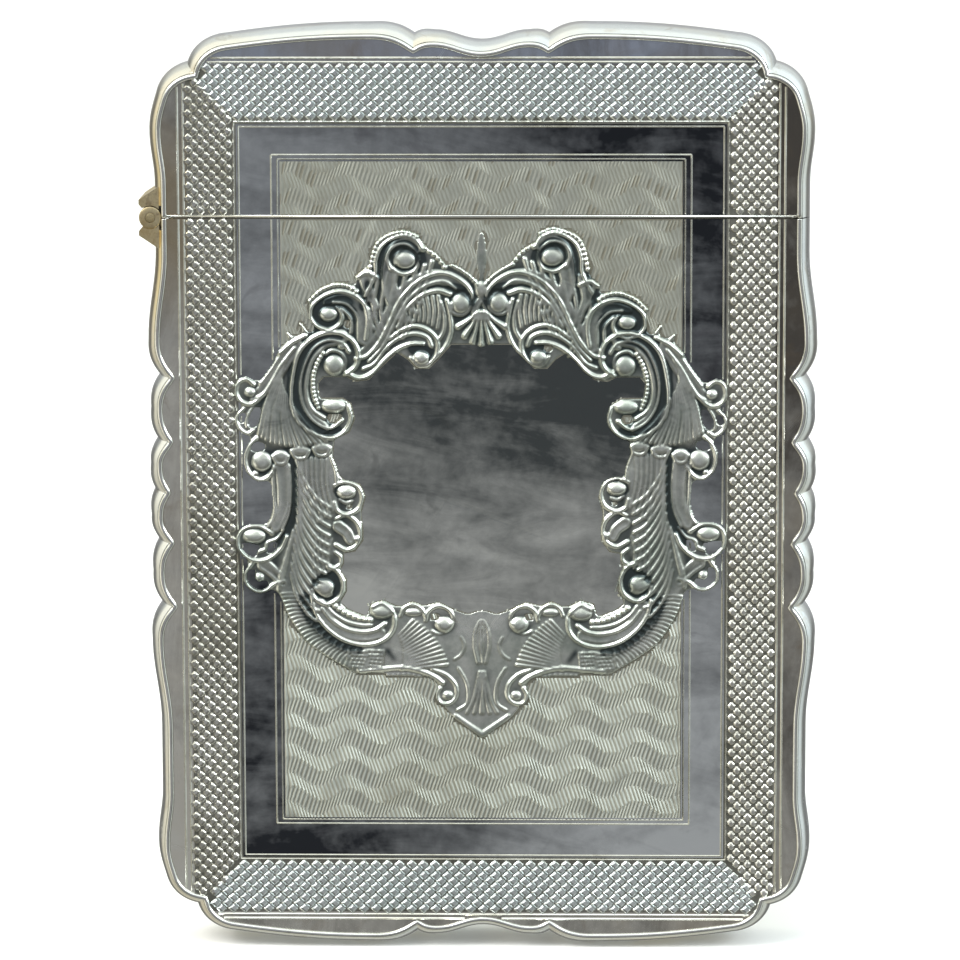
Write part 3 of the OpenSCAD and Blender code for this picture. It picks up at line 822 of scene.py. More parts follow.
def add_plate(side, upper, body, node, materials):
    """A plate cut from the outline, its front divided into the regions that differ in finish."""
    edge, _ = part_of_outline(upper)
    n = len(edge)
    loops = [edge] + [corners_of(rect) for rect in (BAND_OUTER, PANEL, HOBNAIL_OUTER)]
    if not upper:
        loops.append(shield_outline())
    points, lines = [], []
    for loop in loops:
        lines += [(len(points) + k, len(points) + (k + 1) % len(loop)) for k in range(len(loop))]
        points += [Vector(p) for p in loop]
    flat, _, tris, _, _, _ = delaunay_2d_cdt(points, lines, [], 0, 1e-5)
    flat = np.array([tuple(p) for p in flat])
    tris = np.array([t for t in tris if len(t) == 3])
    middle = flat[tris].mean(1)
    tris = tris[inside(edge, middle[:, 0], middle[:, 1])]
    turn = np.cross(flat[tris[:, 1]] - flat[tris[:, 0]], flat[tris[:, 2]] - flat[tris[:, 0]])
    tris[turn < 0] = tris[turn < 0][:, ::-1]
    middle = flat[tris].mean(1)
    front = side.place(flat[:, 0], flat[:, 1], np.zeros(len(flat)))
    back = side.place(edge[:, 0], edge[:, 1], np.full(n, -GAUGE))
    hem = side.place(edge[:, 0], edge[:, 1], np.zeros(n))
    shift = len(front)
    faces = [tuple(t) for t in tris]
    faces.append(tuple(shift + k for k in range(n - 1, -1, -1)))
    for k in range(n):
        m = (k + 1) % n
        faces.append((shift + n + k, shift + k, shift + m, shift + n + m))
    name = f"{body}_{side.name}_plate"
    piece = add_piece(name, np.concatenate([front, back, hem]), faces, body,
                      materials, (node,), smooth=False)
    index = np.zeros(len(faces), int)
    index[:len(tris)] = face_region(middle[:, 0], middle[:, 1])
    index[len(tris)] = len(materials) - 1
    piece.data.polygons.foreach_set("material_index", index)


def add_edge_bead(side, upper, body, material):
    """The thin turned edge that stands up along the rim of a plate."""
    section = [(BEAD_INSET + BEAD_R * math.cos(a), BEAD_LIFT + BEAD_R * math.sin(a))
               for a in np.linspace(0, 2 * math.pi, 10, endpoint=False)]
    verts, faces = sweep_on_face(side, part_of_outline(upper)[0], section)
    add_piece(f"{body}_{side.name}_edge", verts, faces, body, [material])


LINE_WIDTH_OUTER = 0.3
LINE_WIDTH_INNER = 0.24
LINE_HEIGHT = 0.09
LINE_TOP = 0.12          # share of a line's half width that is flat on top
LINE_STEP = 0.2
RIM_LINES_FROM = 30      # lines further out than this are the rim's


def frame_line_paths(upper):
    """The engraved lines, each as straight runs that end at the seam."""
    edge = LID_BOTTOM + SEAM_CLEAR if upper else BODY_TOP - 0.05
    paths = []
    for rect in (RIM_OUTER, RIM_INNER, BAND_LINE, BAND_LINE_2, PANEL_LINE, PANEL_LINE_2):
        a = rect[0]
        far = CENTRE_Z + rect[1] if upper else CENTRE_Z - rect[2]
        paths.append((a, [np.array(p) for p in ((-a, edge), (-a, far), (a, far), (a, edge))]))
    return paths


def free_runs(p, q, clear):
    """The parts of a straight line where every point is clear."""
    steps = max(3, int(np.linalg.norm(q - p) / LINE_STEP))
    line = np.linspace(p, q, steps)
    free = np.concatenate([[False], clear(line[:, 0], line[:, 1]), [False]])
    starts, ends = (np.nonzero(free[1:-1] & ~beside)[0] for beside in (free[:-2], free[2:]))
    return [(line[a], line[b]) for a, b in zip(starts, ends) if b > a]


def add_frame_lines(side, upper, body, chased, material):
    near_edge = inset_outline(EDGE_CLEAR)
    parts = []
    for a, path in frame_line_paths(upper):
        outer = a > RIM_LINES_FROM
        w = (LINE_WIDTH_OUTER if outer else LINE_WIDTH_INNER) / 2
        top = LINE_TOP * w
        section = [(-w, BURIED), (w, BURIED), (top, LINE_HEIGHT), (-top, LINE_HEIGHT)]
        for p, q in zip(path[:-1], path[1:]):
            for run in free_runs(p, q, lambda x, z: inside(near_edge, x, z) if outer
                                 else ~chased(x, z)):
                parts.append(sweep_on_face(side, run, section))
    verts, faces = join(parts)
    add_piece(f"{body}_{side.name}_lines", verts, faces, body, [material],
              smooth=False)


# ---------------------------------------------------------------- hobnail border

STUD_ALONG = 1.29
STUD_ACROSS = 0.585
STUD_FILL = 0.97         # share of its place that a stud fills
STUD_REACH = 46.5        # how far the upright strips may run from the middle
STUD_HEIGHT = 0.18
STUD_LEVELS = ((1, BURIED), (0.7, 0.72), (0.46, 1.0))    # size and height of a stud's rings
STUD_LEAN = (0.3, 1)     # share of the lean that its upper rings take
STUD_CORNER = 0.24
STUD_JITTER = 0.018
MITRE_GAP = -0.3


def stud_centres(along_z, sign, upper):
    """Staggered lattice points of one strip of the border, mitred at the corners."""
    reach = 1 if sign > 0 else 2
    inner, outer = (r[0] if along_z else r[reach] for r in (HOBNAIL_INNER, HOBNAIL_OUTER))
    rows = int(round((outer - inner) / STUD_ACROSS))
    pitch = (outer - inner) / rows
    count = int((STUD_REACH if along_z else HOBNAIL_OUTER[0]) / STUD_ALONG) + 1
    found = []
    for j in range(rows):
        out = sign * (inner + (j + 0.5) * pitch)
        for i in range(-count, count + 1):
            s = (i + 0.5 * (j % 2)) * STUD_ALONG
            x, z = (out, s) if along_z else (s, out)
            up = 1 if z > 0 else 2
            slope = ((HOBNAIL_OUTER[0] - HOBNAIL_INNER[0])
                     / (HOBNAIL_OUTER[up] - HOBNAIL_INNER[up]))
            mitre = abs(x) - HOBNAIL_INNER[0] - (abs(z) - HOBNAIL_INNER[up]) * slope
            z += CENTRE_Z
            off_part = z < LID_BOTTOM + SEAM_CLEAR + 0.2 if upper else z > BODY_TOP - 0.4
            if (mitre if along_z else -mitre) >= MITRE_GAP and not off_part:
                found.append((x, z))
    found = np.array(found)
    return found[inside(inset_outline(EDGE_CLEAR + 0.25), found[:, 0], found[:, 1])]


def add_hobnail(side, upper, body, place, along_z, sign, lean, material):
    """Raised diamond studs, left by two sets of crossing cuts that lean to one side."""
    centres = stud_centres(along_z, sign, upper)
    a, c = STUD_ALONG / 2 * STUD_FILL, STUD_ACROSS * STUD_FILL
    near = STUD_CORNER if along_z else STUD_CORNER / 2
    quarter = [(a * (1 - near), c * near), (a * near, c * (1 - near))]
    half = quarter + [(-p, q) for p, q in quarter[::-1]]
    ring = half + [(-p, -q) for p, q in half]
    local = np.array([(s * p, s * q, h * STUD_HEIGHT)
                      for s, h in STUD_LEVELS for p, q in ring])
    if along_z:
        local = local[:, [1, 0, 2]] * [-1, 1, 1]
    n = len(ring)
    local[n:, :2] += np.array(lean) * np.repeat(STUD_LEAN, n)[:, None]
    jitter = rng.normal(0, STUD_JITTER, (len(centres), 2))
    tall = 1 + rng.normal(0, 0.08, len(centres))
    x = centres[:, :1] + jitter[:, :1] + local[None, :, 0]
    z = centres[:, 1:] + jitter[:, 1:] + local[None, :, 1]
    verts = side.place(x, z, tall[:, None] * local[None, :, 2]).reshape(-1, 3)
    one = [(k + r, (k + 1) % n + r, (k + 1) % n + r + n, k + r + n)
           for r in (0, n) for k in range(n)]
    one += [(2 * n + k, 2 * n + k + 1, 2 * n + 6 - k, 2 * n + 7 - k) for k in range(3)]
    quads = (np.array(one)[None] + 3 * n * np.arange(len(centres))[:, None, None]).reshape(-1, 4)
    add_piece(f"{body}_{side.name}_hobnail_{place}", verts, quads, body,
              [material], smooth=False)


# ---------------------------------------------------------------- wave-cut panel

WAVE_PITCH = 0.4
WAVE_LENGTH = 3.25
WAVE_SWAY = 0.27
WAVE_ROW = 0.27
WAVE_DRIFT = 0.72
DRIFT_LENGTH = 6.2
DASH_SHARE = 0.3


def add_panel(side, upper, body, kept, material):
    """Fine wavy cuts that run up the panel side by side, crisp below and worn above."""
    low = LID_BOTTOM + SEAM_CLEAR if upper else CENTRE_Z - PANEL[2]
    high = CENTRE_Z + PANEL[1] if upper else BODY_TOP - 0.15
    columns = np.arange(-PANEL[0], PANEL[0] + 1e-6, WAVE_PITCH / 2)
    rows = np.linspace(low, high, int((high - low) / WAVE_ROW) + 1)
    gx, gz = np.meshgrid(columns, rows)
    drift = WAVE_DRIFT * np.sin(2 * np.pi * gx / DRIFT_LENGTH + 0.6 * np.sin(gz / 9)) + 0.04 * gx
    phase = (gz + drift) / WAVE_LENGTH % 1
    swing = np.abs(phase * 2 - 1) * 2 - 1
    fall = phase < 0.5
    wobble = 0.05 * soft_noise(gx.shape, 3, 41 + upper)
    edge = np.clip((PANEL[0] - np.abs(gx)) / 0.8, 0, 1)
    x = gx + (WAVE_SWAY * swing + wobble) * edge
    crest_line = (np.arange(len(columns)) % 2)[None, :]
    fresh = np.clip((66 - gz) / 22, 0, 1)
    depth = np.where(fall, 0.03 + 0.06 * fresh, 0.025 + 0.035 * fresh)
    uneven = (0.9 - 0.4 * fresh) * soft_noise(gx.shape, 2, 47 + upper)
    depth = depth * np.clip(1 + uneven, 0.1, 1.7)
    h = np.where(crest_line == 1, 0.04 + depth, 0.025)
    cx, cz = ((g[:-1, :-1] + g[1:, 1:]) / 2 for g in (gx, gz))
    quads, count = cell_quads(np.ones_like(cx, bool) if upper else ~kept(cx, cz))
    used = count > 0
    verts = side.place(x[used], gz[used], h[used])
    tone = 0.46 - np.where(fall, 0.1, 0.12) * fresh + (0.08 + 0.38 * fresh) * crest_line
    period = ((gz + drift) / WAVE_LENGTH).astype(int)
    dash = np.random.default_rng(61 + upper).random((period.max() + 1, len(columns)))
    dash = dash[period, np.arange(len(columns))[None, :]] < DASH_SHARE
    tone -= 0.4 * (1 - fresh) * (dash & ~fall & (swing < 0.5) & (crest_line == 0))
    add_piece(f"{body}_{side.name}_panel", verts, quads, body, [material],
              smooth=False, tone=tone[used])


def add_chased_frame(side, material, halves):
    for place, (r, _, cells, tone) in zip(("left", "right"), halves):
        verts, quads, tones = r.mesh(side, cells, place == "right", tone)
        add_piece(f"body_{side.name}_chasing_{place}", verts, quads, "body",
                  [material], tone=tones)


def add_seam_edge(side, material):
    """The lid's lower edge, rolled over."""
    z = LID_BOTTOM + 0.16
    section = [(-0.15, BURIED), (0.15, BURIED), (0.12, 0.09), (0, 0.13), (-0.12, 0.09)]
    path = [(WAIST_HALF - 0.3, z), (-WAIST_HALF + 0.3, z)]
    verts, faces = sweep_on_face(side, path, section)
    add_piece(f"lid_{side.name}_seam_edge", verts, faces, "lid", [material])


# ---------------------------------------------------------------- walls

def wall_bulge(y):
    return WALL_BULGE * max(0.0, 1 - (y / HALF_T) ** 2) ** BULGE_POWER


def split_edges(piece, angle):
    piece.modifiers.new("crisp edges", "EDGE_SPLIT").split_angle = math.radians(angle)


def add_wall(upper, body, node, material):
    """The convex side wall, swept round the outline, folded in at each cusp."""
    path, outs = part_of_outline(upper, BARREL_NOTCH)
    depths = (HALF_T - 0.12) * np.sin(np.linspace(-math.pi / 2, math.pi / 2, 17))
    inner = (HALF_T - GAUGE - 0.02) * np.sin(np.linspace(math.pi / 2, -math.pi / 2, 9))
    section = [(wall_bulge(y), y) for y in depths]
    section += [(max(wall_bulge(y) - WALL_GAUGE, -0.45), y) for y in inner]
    rows = []
    for reach, y in section:
        q = path + outs * reach
        rows.append(np.stack([q[:, 0], np.full(len(q), y), q[:, 1]], axis=1))
    faces = [face[::-1] for face in tube_faces(len(path), len(section))]
    split_edges(add_piece(f"{body}_wall", np.stack(rows, axis=1).reshape(-1, 3), faces, body,
                          [material], (node,)), 50)


# ---------------------------------------------------------------- hinge

TURNED_STEPS = 48
KNUCKLE_CHAMFER = 0.12


def turned(name, profile, body, node, material):
    """A piece turned about the hinge axis. The profile is (radius, y) points, inside to out."""
    angles = np.linspace(0, 2 * np.pi, TURNED_STEPS, endpoint=False)
    verts = [(AXIS_X + r * math.cos(a), y, SEAM + r * math.sin(a))
             for a in angles for r, y in profile]
    n = len(profile)
    faces = [(a, d, c, b) for a, b, c, d in ring_faces(TURNED_STEPS, n, True)]
    split_edges(add_piece(name, verts, faces, body, [material], (node,)), 40)


def add_knuckle(node, body, bore, material):
    low, high = cad_mm(node)
    y0, y1, r, c = low[1], high[1], KNUCKLE_R, KNUCKLE_CHAMFER
    profile = [(bore, y0), (r - c, y0), (r - 0.3 * c, y0 + 0.3 * c), (r, y0 + c), (r, y1 - c),
               (r - 0.3 * c, y1 - 0.3 * c), (r - c, y1), (bore, y1)]
    turned(node + "_turned", profile, body, node, material)


def add_pin(material):
    low, high = cad_mm("hinge_pin")
    r, c = (high[0] - low[0]) / 2, 0.14
    y0, y1 = low[1], high[1]
    profile = [(0.02, y0), (r - 2 * c, y0 + 0.02), (r - 0.3 * c, y0 + 0.5 * c), (r, y0 + 1.2 * c),
               (r, y1 - 1.2 * c), (r - 0.3 * c, y1 - 0.5 * c), (r - 2 * c, y1 - 0.02), (0.02, y1)]
    turned("hinge_pin_turned", profile, "body", "hinge_pin", material)


# ---------------------------------------------------------------- materials

class Nodes:
    """Short calls for building a node material."""

    def __init__(self, name):
        self.material = bpy.data.materials.new(name)
        self.material.use_nodes = True
        self.tree = self.material.node_tree
        self.shader = self.tree.nodes["Principled BSDF"]
        self.coords = self.tree.nodes.new("ShaderNodeTexCoord").outputs["Object"]

    def link(self, a, b):
        self.tree.links.new(a, b)

    def noise(self, scale, detail=3.0, stretch=(1, 1, 1), turn=0.0, rough=0.55, distort=0.0):
        mapping = self.tree.nodes.new("ShaderNodeMapping")
        mapping.vector_type = "TEXTURE"
        mapping.inputs["Scale"].default_value = tuple(1 / s for s in stretch)
        mapping.inputs["Rotation"].default_value = (0, turn, 0)
        self.link(self.coords, mapping.inputs["Vector"])
        node = self.tree.nodes.new("ShaderNodeTexNoise")
        node.inputs["Scale"].default_value = scale
        node.inputs["Detail"].default_value = detail
        node.inputs["Roughness"].default_value = rough
        node.inputs["Distortion"].default_value = distort
        self.link(mapping.outputs["Vector"], node.inputs["Vector"])
        return node.outputs["Fac"]

    def ranged(self, value, low, high, to_low, to_high):
        node = self.tree.nodes.new("ShaderNodeMapRange")
        for name, number in (("From Min", low), ("From Max", high),
                             ("To Min", to_low), ("To Max", to_high)):
            node.inputs[name].default_value = number
        self.link(value, node.inputs["Value"])
        return node.outputs["Result"]

    def math(self, kind, a, b):
        node = self.tree.nodes.new("ShaderNodeMath")
        node.operation = kind
        for socket, value in ((node.inputs[0], a), (node.inputs[1], b)):
            if isinstance(value, (int, float)):
                socket.default_value = value
            else:
                self.link(value, socket)
        return node.outputs[0]

    def mix(self, factor, a, b):
        node = self.tree.nodes.new("ShaderNodeMix")
        node.data_type = "RGBA"
        self.link(factor, node.inputs["Factor"])
        colour_inputs = [s for s in node.inputs if s.type == "RGBA"]
        for socket, value in zip(colour_inputs, (a, b)):
            if isinstance(value, tuple):
                socket.default_value = (*value, 1)
            else:
                self.link(value, socket)
        return [s for s in node.outputs if s.type == "RGBA"][0]

    def bump(self, height, strength, distance, normal=None):
        node = self.tree.nodes.new("ShaderNodeBump")
        node.inputs["Strength"].default_value = strength
        node.inputs["Distance"].default_value = distance
        self.link(height, node.inputs["Height"])
        if normal is not None:
            self.link(normal, node.inputs["Normal"])
        return node.outputs["Normal"]


def metal(name, light, dark, tarnish_and_shade, rough, mottle=70.0, scratch=0.25, dents=0.3,
          toned=False, stains=0.35, painted_reflection=None, painted_top_reflection=None, reflection_stretch=(1, 1, 1),
          golden=None, stain_reach=0.022):
    """Old metal: cloudy colour, stains, fine scratches, small dents, and darkening in recesses from
    the tone attribute, which on the chased relief also carries painted shade.

    A patch of painted reflection makes the face lighter or darker by place, with clouds and streaks
    on it: (base, across, up, diagonal, share of noise). A crown colour paints a reflection along
    the top of the face and darkens its bottom edge.
    """
    n = Nodes(name)
    n.shader.inputs["Metallic"].default_value = 1.0
    clouds = n.noise(mottle, 4, distort=0.6)
    grain = n.noise(mottle * 14, 3)
    strokes = n.noise(900, 3, (1, 1, 0.05), 0.6, distort=0.3)
    crossed = n.noise(800, 3, (0.05, 1, 1), 0.35, distort=0.3)
    # Painted reflection: the face is made lighter or darker by place, with clouds and streaks, for
    # what the polished metal mirrors.
    if painted_reflection:
        base, across, up, diagonal, share = painted_reflection
        reflection_streaks = n.noise(mottle * 2.2, 6, reflection_stretch, 0.06, 0.62, 0.8)
        place = n.tree.nodes.new("ShaderNodeSeparateXYZ")
        n.link(n.coords, place.inputs[0])
        x = n.math("MULTIPLY", place.outputs["X"], 1 / (WAIST_HALF * MM))
        z = n.math("MULTIPLY", n.math("SUBTRACT", place.outputs["Z"], CENTRE_Z * MM),
                   1 / (CENTRE_Z * MM))
        factor = n.math("ADD", n.math("MULTIPLY", x, across), n.math("MULTIPLY", z, up))
        factor = n.math("ADD", factor, n.math("MULTIPLY", n.math("MULTIPLY", x, z), diagonal))
        factor = n.math("ADD", factor, n.ranged(clouds, 0.3, 0.7, base - share, base + share))
        factor = n.math("ADD", factor, n.ranged(reflection_streaks, 0.3, 0.7, -share, share))
        factor = n.math("ADD", factor, n.ranged(grain, 0.3, 0.7, -0.07, 0.07))
        # Painted reflection: the bottom edge of the face is darkened.
        if painted_top_reflection:
            factor = n.math("ADD", factor, n.ranged(z, -0.94, -0.9, -0.25, 0))
        factor = n.ranged(factor, 0, 1, 0, 1)
    else:
        factor = n.math("ADD", clouds, n.math("MULTIPLY", grain, 0.35))
        factor = n.ranged(factor, 0.5, 0.85, 0, 1)
    colour = n.mix(factor, dark, light)
    # Painted reflection: a bluish tint along the top of the face.
    if painted_top_reflection:
        high = n.math("MULTIPLY", n.ranged(z, 0.9, 0.935, 0, 1),
                      n.ranged(reflection_streaks, 0.35, 0.6, 0.4, 1))
        colour = n.mix(high, colour, painted_top_reflection)
    if golden:
        spot = n.tree.nodes.new("ShaderNodeVectorMath")
        spot.operation = "DISTANCE"
        n.link(n.coords, spot.inputs[0])
        spot.inputs[1].default_value = (-WAIST_HALF * MM, 0, SEAM * MM)
        near = n.math("ADD", n.ranged(spot.outputs["Value"], 0.004, stain_reach, 0.75, 0),
                      n.ranged(clouds, 0.35, 0.65, -0.25, 0.25))
        colour = n.mix(n.ranged(near, 0, 1, 0, 1), colour, golden)
    spots = n.ranged(n.noise(mottle * 2.6, 5, distort=1.2), 0.60, 0.74, 0, stains)
    colour = n.mix(spots, colour, tarnish_and_shade)
    # Darker where the tone attribute is low: in recesses, and on the chased relief also under the
    # painted shade strokes.
    if toned:
        attribute = n.tree.nodes.new("ShaderNodeAttribute")
        attribute.attribute_name = "tone"
        recess_and_painted_shade = n.ranged(attribute.outputs["Fac"], toned[0], toned[1], toned[2], 0)
        colour = n.mix(recess_and_painted_shade, colour, tarnish_and_shade)
    n.link(colour, n.shader.inputs["Base Color"])
    lines = n.math("MAXIMUM", n.ranged(strokes, 0.62, 0.74, 0, 1),
                   n.ranged(crossed, 0.64, 0.76, 0, 1))
    worn = n.math("ADD", n.ranged(clouds, 0.35, 0.7, rough[1], rough[0]),
                  n.math("MULTIPLY", lines, 0.1))
    n.link(worn, n.shader.inputs["Roughness"])
    normal = n.bump(n.noise(170, 2), dents, 0.00012)
    normal = n.bump(n.math("ADD", n.math("MULTIPLY", lines, -0.5), n.math("MULTIPLY", grain, 0.5)),
                    scratch, 0.00003, normal)
    n.link(normal, n.shader.inputs["Normal"])
    return n.material


def make_materials():
    warm = (0.20, 0.17, 0.11)
    return {
        # Rim: light and dark painted across the face as reflections, a bluish painted reflection
        # along the top and a darker bottom edge.
        "rim": metal("rim_silver", (0.93, 0.92, 0.84), (0.17, 0.155, 0.135), (0.36, 0.27, 0.16),
                     (0.16, 0.28), 60, painted_reflection=(0.47, -0.28, -0.36, -0.12, 0.24),
                     painted_top_reflection=(0.62, 0.68, 0.80), reflection_stretch=(1.6, 1, 0.5), golden=(0.50, 0.40, 0.24),
                     stain_reach=0.014),
        "edge": metal("edge_silver", (0.97, 0.98, 0.97), (0.80, 0.81, 0.78), (0.42, 0.38, 0.3),
                      (0.12, 0.22), 160),
        "studs": metal("stud_silver", (0.86, 0.86, 0.81), (0.58, 0.57, 0.51), (0.22, 0.20, 0.15),
                       (0.18, 0.30), 110, dents=0.1),
        # End studs: a lighter, bluer copy of the stud silver, painted light for the top and bottom
        # strips.
        "end studs painted lighter": metal("end_stud_silver", (0.93, 0.98, 0.98), (0.76, 0.82, 0.82),
                           (0.34, 0.36, 0.34), (0.2, 0.32), 110, dents=0.1),
        "ground": metal("hobnail_ground", (0.42, 0.42, 0.37), (0.2, 0.2, 0.17),
                        (0.09, 0.08, 0.06), (0.30, 0.45), 120),
        # Band: the near-black dark colour and its spread across the face are painted reflections.
        "band": metal("polished_band", (0.80, 0.84, 0.85), (0.045, 0.05, 0.058),
                      (0.12, 0.11, 0.13), (0.07, 0.16), 60, scratch=0.2,
                      painted_reflection=(0.42, 0.08, -0.12, -0.9, 0.22), reflection_stretch=(0.5, 1, 1.6)),
        "panel": metal("engraved_panel", (0.78, 0.83, 0.79), (0.58, 0.61, 0.56),
                       (0.34, 0.31, 0.23), (0.42, 0.5), 60, dents=0.15, toned=(0.3, 0.7, 0.75)),
        "lines": metal("line_silver", (0.90, 0.91, 0.87), (0.66, 0.65, 0.57), warm,
                       (0.16, 0.28), 120),
        # Chased relief: its tone darkens recesses and carries the painted shade strokes.
        "chased": metal("chased_silver_relief", (0.96, 0.98, 0.92), (0.50, 0.55, 0.50),
                        (0.055, 0.075, 0.08), (0.24, 0.36), 130, 0.8, dents=0.2,
                        toned=(0.18, 0.6, 0.95)),
        # Shield: darker towards the top and lighter below, a painted reflection.
        "shield": metal("shield_silver", (0.92, 0.94, 0.88), (0.13, 0.145, 0.145),
                        (0.16, 0.17, 0.16), (0.10, 0.22), 75, scratch=0.35,
                        painted_reflection=(0.38, -0.05, -1.7, 0, 0.28), reflection_stretch=(0.4, 1, 1.5)),
        "wall": metal("wall_silver", (0.96, 0.98, 1.0), (0.86, 0.89, 0.93), (0.5, 0.38, 0.22),
                      (0.14, 0.24), 80, stains=0.5, golden=(0.86, 0.70, 0.38)),
        "inner": metal("inner_silver", (0.72, 0.70, 0.60), (0.52, 0.49, 0.40), warm,
                       (0.28, 0.42), 60),
        "hinge": metal("hinge_silver", (0.95, 0.84, 0.56), (0.60, 0.47, 0.26),
                       (0.30, 0.2, 0.12), (0.26, 0.4), 420, dents=0.6, stains=0.7),
        "pin": metal("pin_brass_metal", (0.86, 0.72, 0.42), (0.66, 0.5, 0.26), (0.2, 0.13, 0.06),
                     (0.25, 0.36), 260),
    }


# ---------------------------------------------------------------- the case

materials = make_materials()
halves = []
for twin in (0, 1):
    relief, kept, cells = chased_frame(twin)
    halves.append((relief, kept, cells, relief.tone()))


def chased_here(x, z):
    """Whether a point lies under the chased frame or its shield."""
    hit = inside(shield_outline(), x, z)
    for twin, (r, kept, _, _) in enumerate(halves):
        side_x = x * (-1 if twin else 1)
        i = np.clip(np.round((side_x - r.xs[0]) / r.step).astype(int), 0, len(r.xs) - 1)
        j = np.clip(np.round((z - r.zs[0]) / r.step).astype(int), 0, len(r.zs) - 1)
        near = (side_x <= 0) & (side_x > r.xs[0]) & (z > r.zs[0]) & (z < r.zs[-1])
        hit = hit | near & kept[j, i]
    return hit


for side in (FRONT, BACK):
    for upper, body in ((False, "body"), (True, "lid")):
        face = [materials[k] for k in ("rim", "ground", "band", "panel", "shield", "inner")]
        add_plate(side, upper, body, f"{body}_{side.name}_plate", face)
        add_edge_bead(side, upper, body, materials["edge"])
        add_frame_lines(side, upper, body, chased_here, materials["lines"])
        add_hobnail(side, upper, body, "left", True, -1, (-0.1, 0.06), materials["studs"])
        add_hobnail(side, upper, body, "right", True, 1, (0, -0.05), materials["studs"])
        end = ("top", 1) if upper else ("bottom", -1)
        # The top and bottom strips use the stud silver painted lighter.
        add_hobnail(side, upper, body, end[0], False, end[1], (0.12, 0.07),
                    materials["end studs painted lighter"])
        add_panel(side, upper, body, chased_here, materials["panel"])
    add_chased_frame(side, materials["chased"], halves)
    add_seam_edge(side, materials["edge"])

add_wall(False, "body", "body_side_wall", materials["wall"])
add_wall(True, "lid", "lid_side_wall", materials["wall"])
pin_low, pin_high = cad_mm("hinge_pin")
PIN_R = (pin_high[0] - pin_low[0]) / 2
for node in ("body_knuckle_front", "body_knuckle_middle", "body_knuckle_rear"):
    add_knuckle(node, "body", PIN_R, materials["hinge"])
for node in ("lid_knuckle_front", "lid_knuckle_rear"):
    add_knuckle(node, "lid", PIN_R + 0.03, materials["hinge"])
add_pin(materials["pin"])
for node, key in (("mouth_collar", "inner"), ("body_hinge_lug", "hinge"),
                  ("lid_hinge_lug", "hinge")):
    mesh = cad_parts[node].data
    mesh.materials.clear()
    mesh.materials.append(materials[key])


# ---------------------------------------------------------------- studio

def add_floor():
    """A plain pale floor that curves up into a backdrop all round, far from the case."""
    profile = [(0, 0), (0.3, 0), (1.2, 0), (1.8, 0.02), (2.3, 0.16), (2.7, 0.5), (2.9, 1.0),
               (3.0, 2.2)]
    curve = smooth_path(profile, 0.05)
    steps = 96
    verts, faces = [], []
    for r, z in curve[1:]:
        verts += [(r * math.cos(a), r * math.sin(a), max(z, 0.0)) for a in
                  np.linspace(0, 2 * math.pi, steps, endpoint=False)]
    n = len(curve) - 1
    centre = len(verts)
    verts.append((0, 0, 0))
    for k in range(n - 1):
        for a in range(steps):
            b = (a + 1) % steps
            faces.append((k * steps + a, (k + 1) * steps + a, (k + 1) * steps + b, k * steps + b))
    faces += [(centre, a, (a + 1) % steps) for a in range(steps)]
    mesh = bpy.data.meshes.new("floor")
    mesh.from_pydata(verts, [], faces)
    mesh.polygons.foreach_set("use_smooth", np.full(len(mesh.polygons), True))
    floor = bpy.data.objects.new("floor", mesh)
    bpy.context.scene.collection.objects.link(floor)
    floor.visible_glossy = False
    floor.visible_diffuse = False
    floor.visible_shadow = False
    n = Nodes("pale_floor")
    n.shader.inputs["Base Color"].default_value = (0.93, 0.93, 0.93, 1)
    n.shader.inputs["Roughness"].default_value = 0.9
    n.shader.inputs["Specular IOR Level"].default_value = 0.1
    mesh.materials.append(n.material)
    return floor


# Patches of light in the tent: which way, angular radius and colour
SOFTBOXES = [
    ((-0.55, -0.55, 0.62), 0.36, (2.4, 2.45, 2.4)), ((0.6, -0.5, 0.62), 0.34, (2.2, 2.3, 2.3)),
    ((0, -0.42, 0.9), 0.24, (1.7, 1.75, 1.75)), ((-0.8, -0.5, -0.3), 0.24, (1.2, 1.15, 1.0)),
]


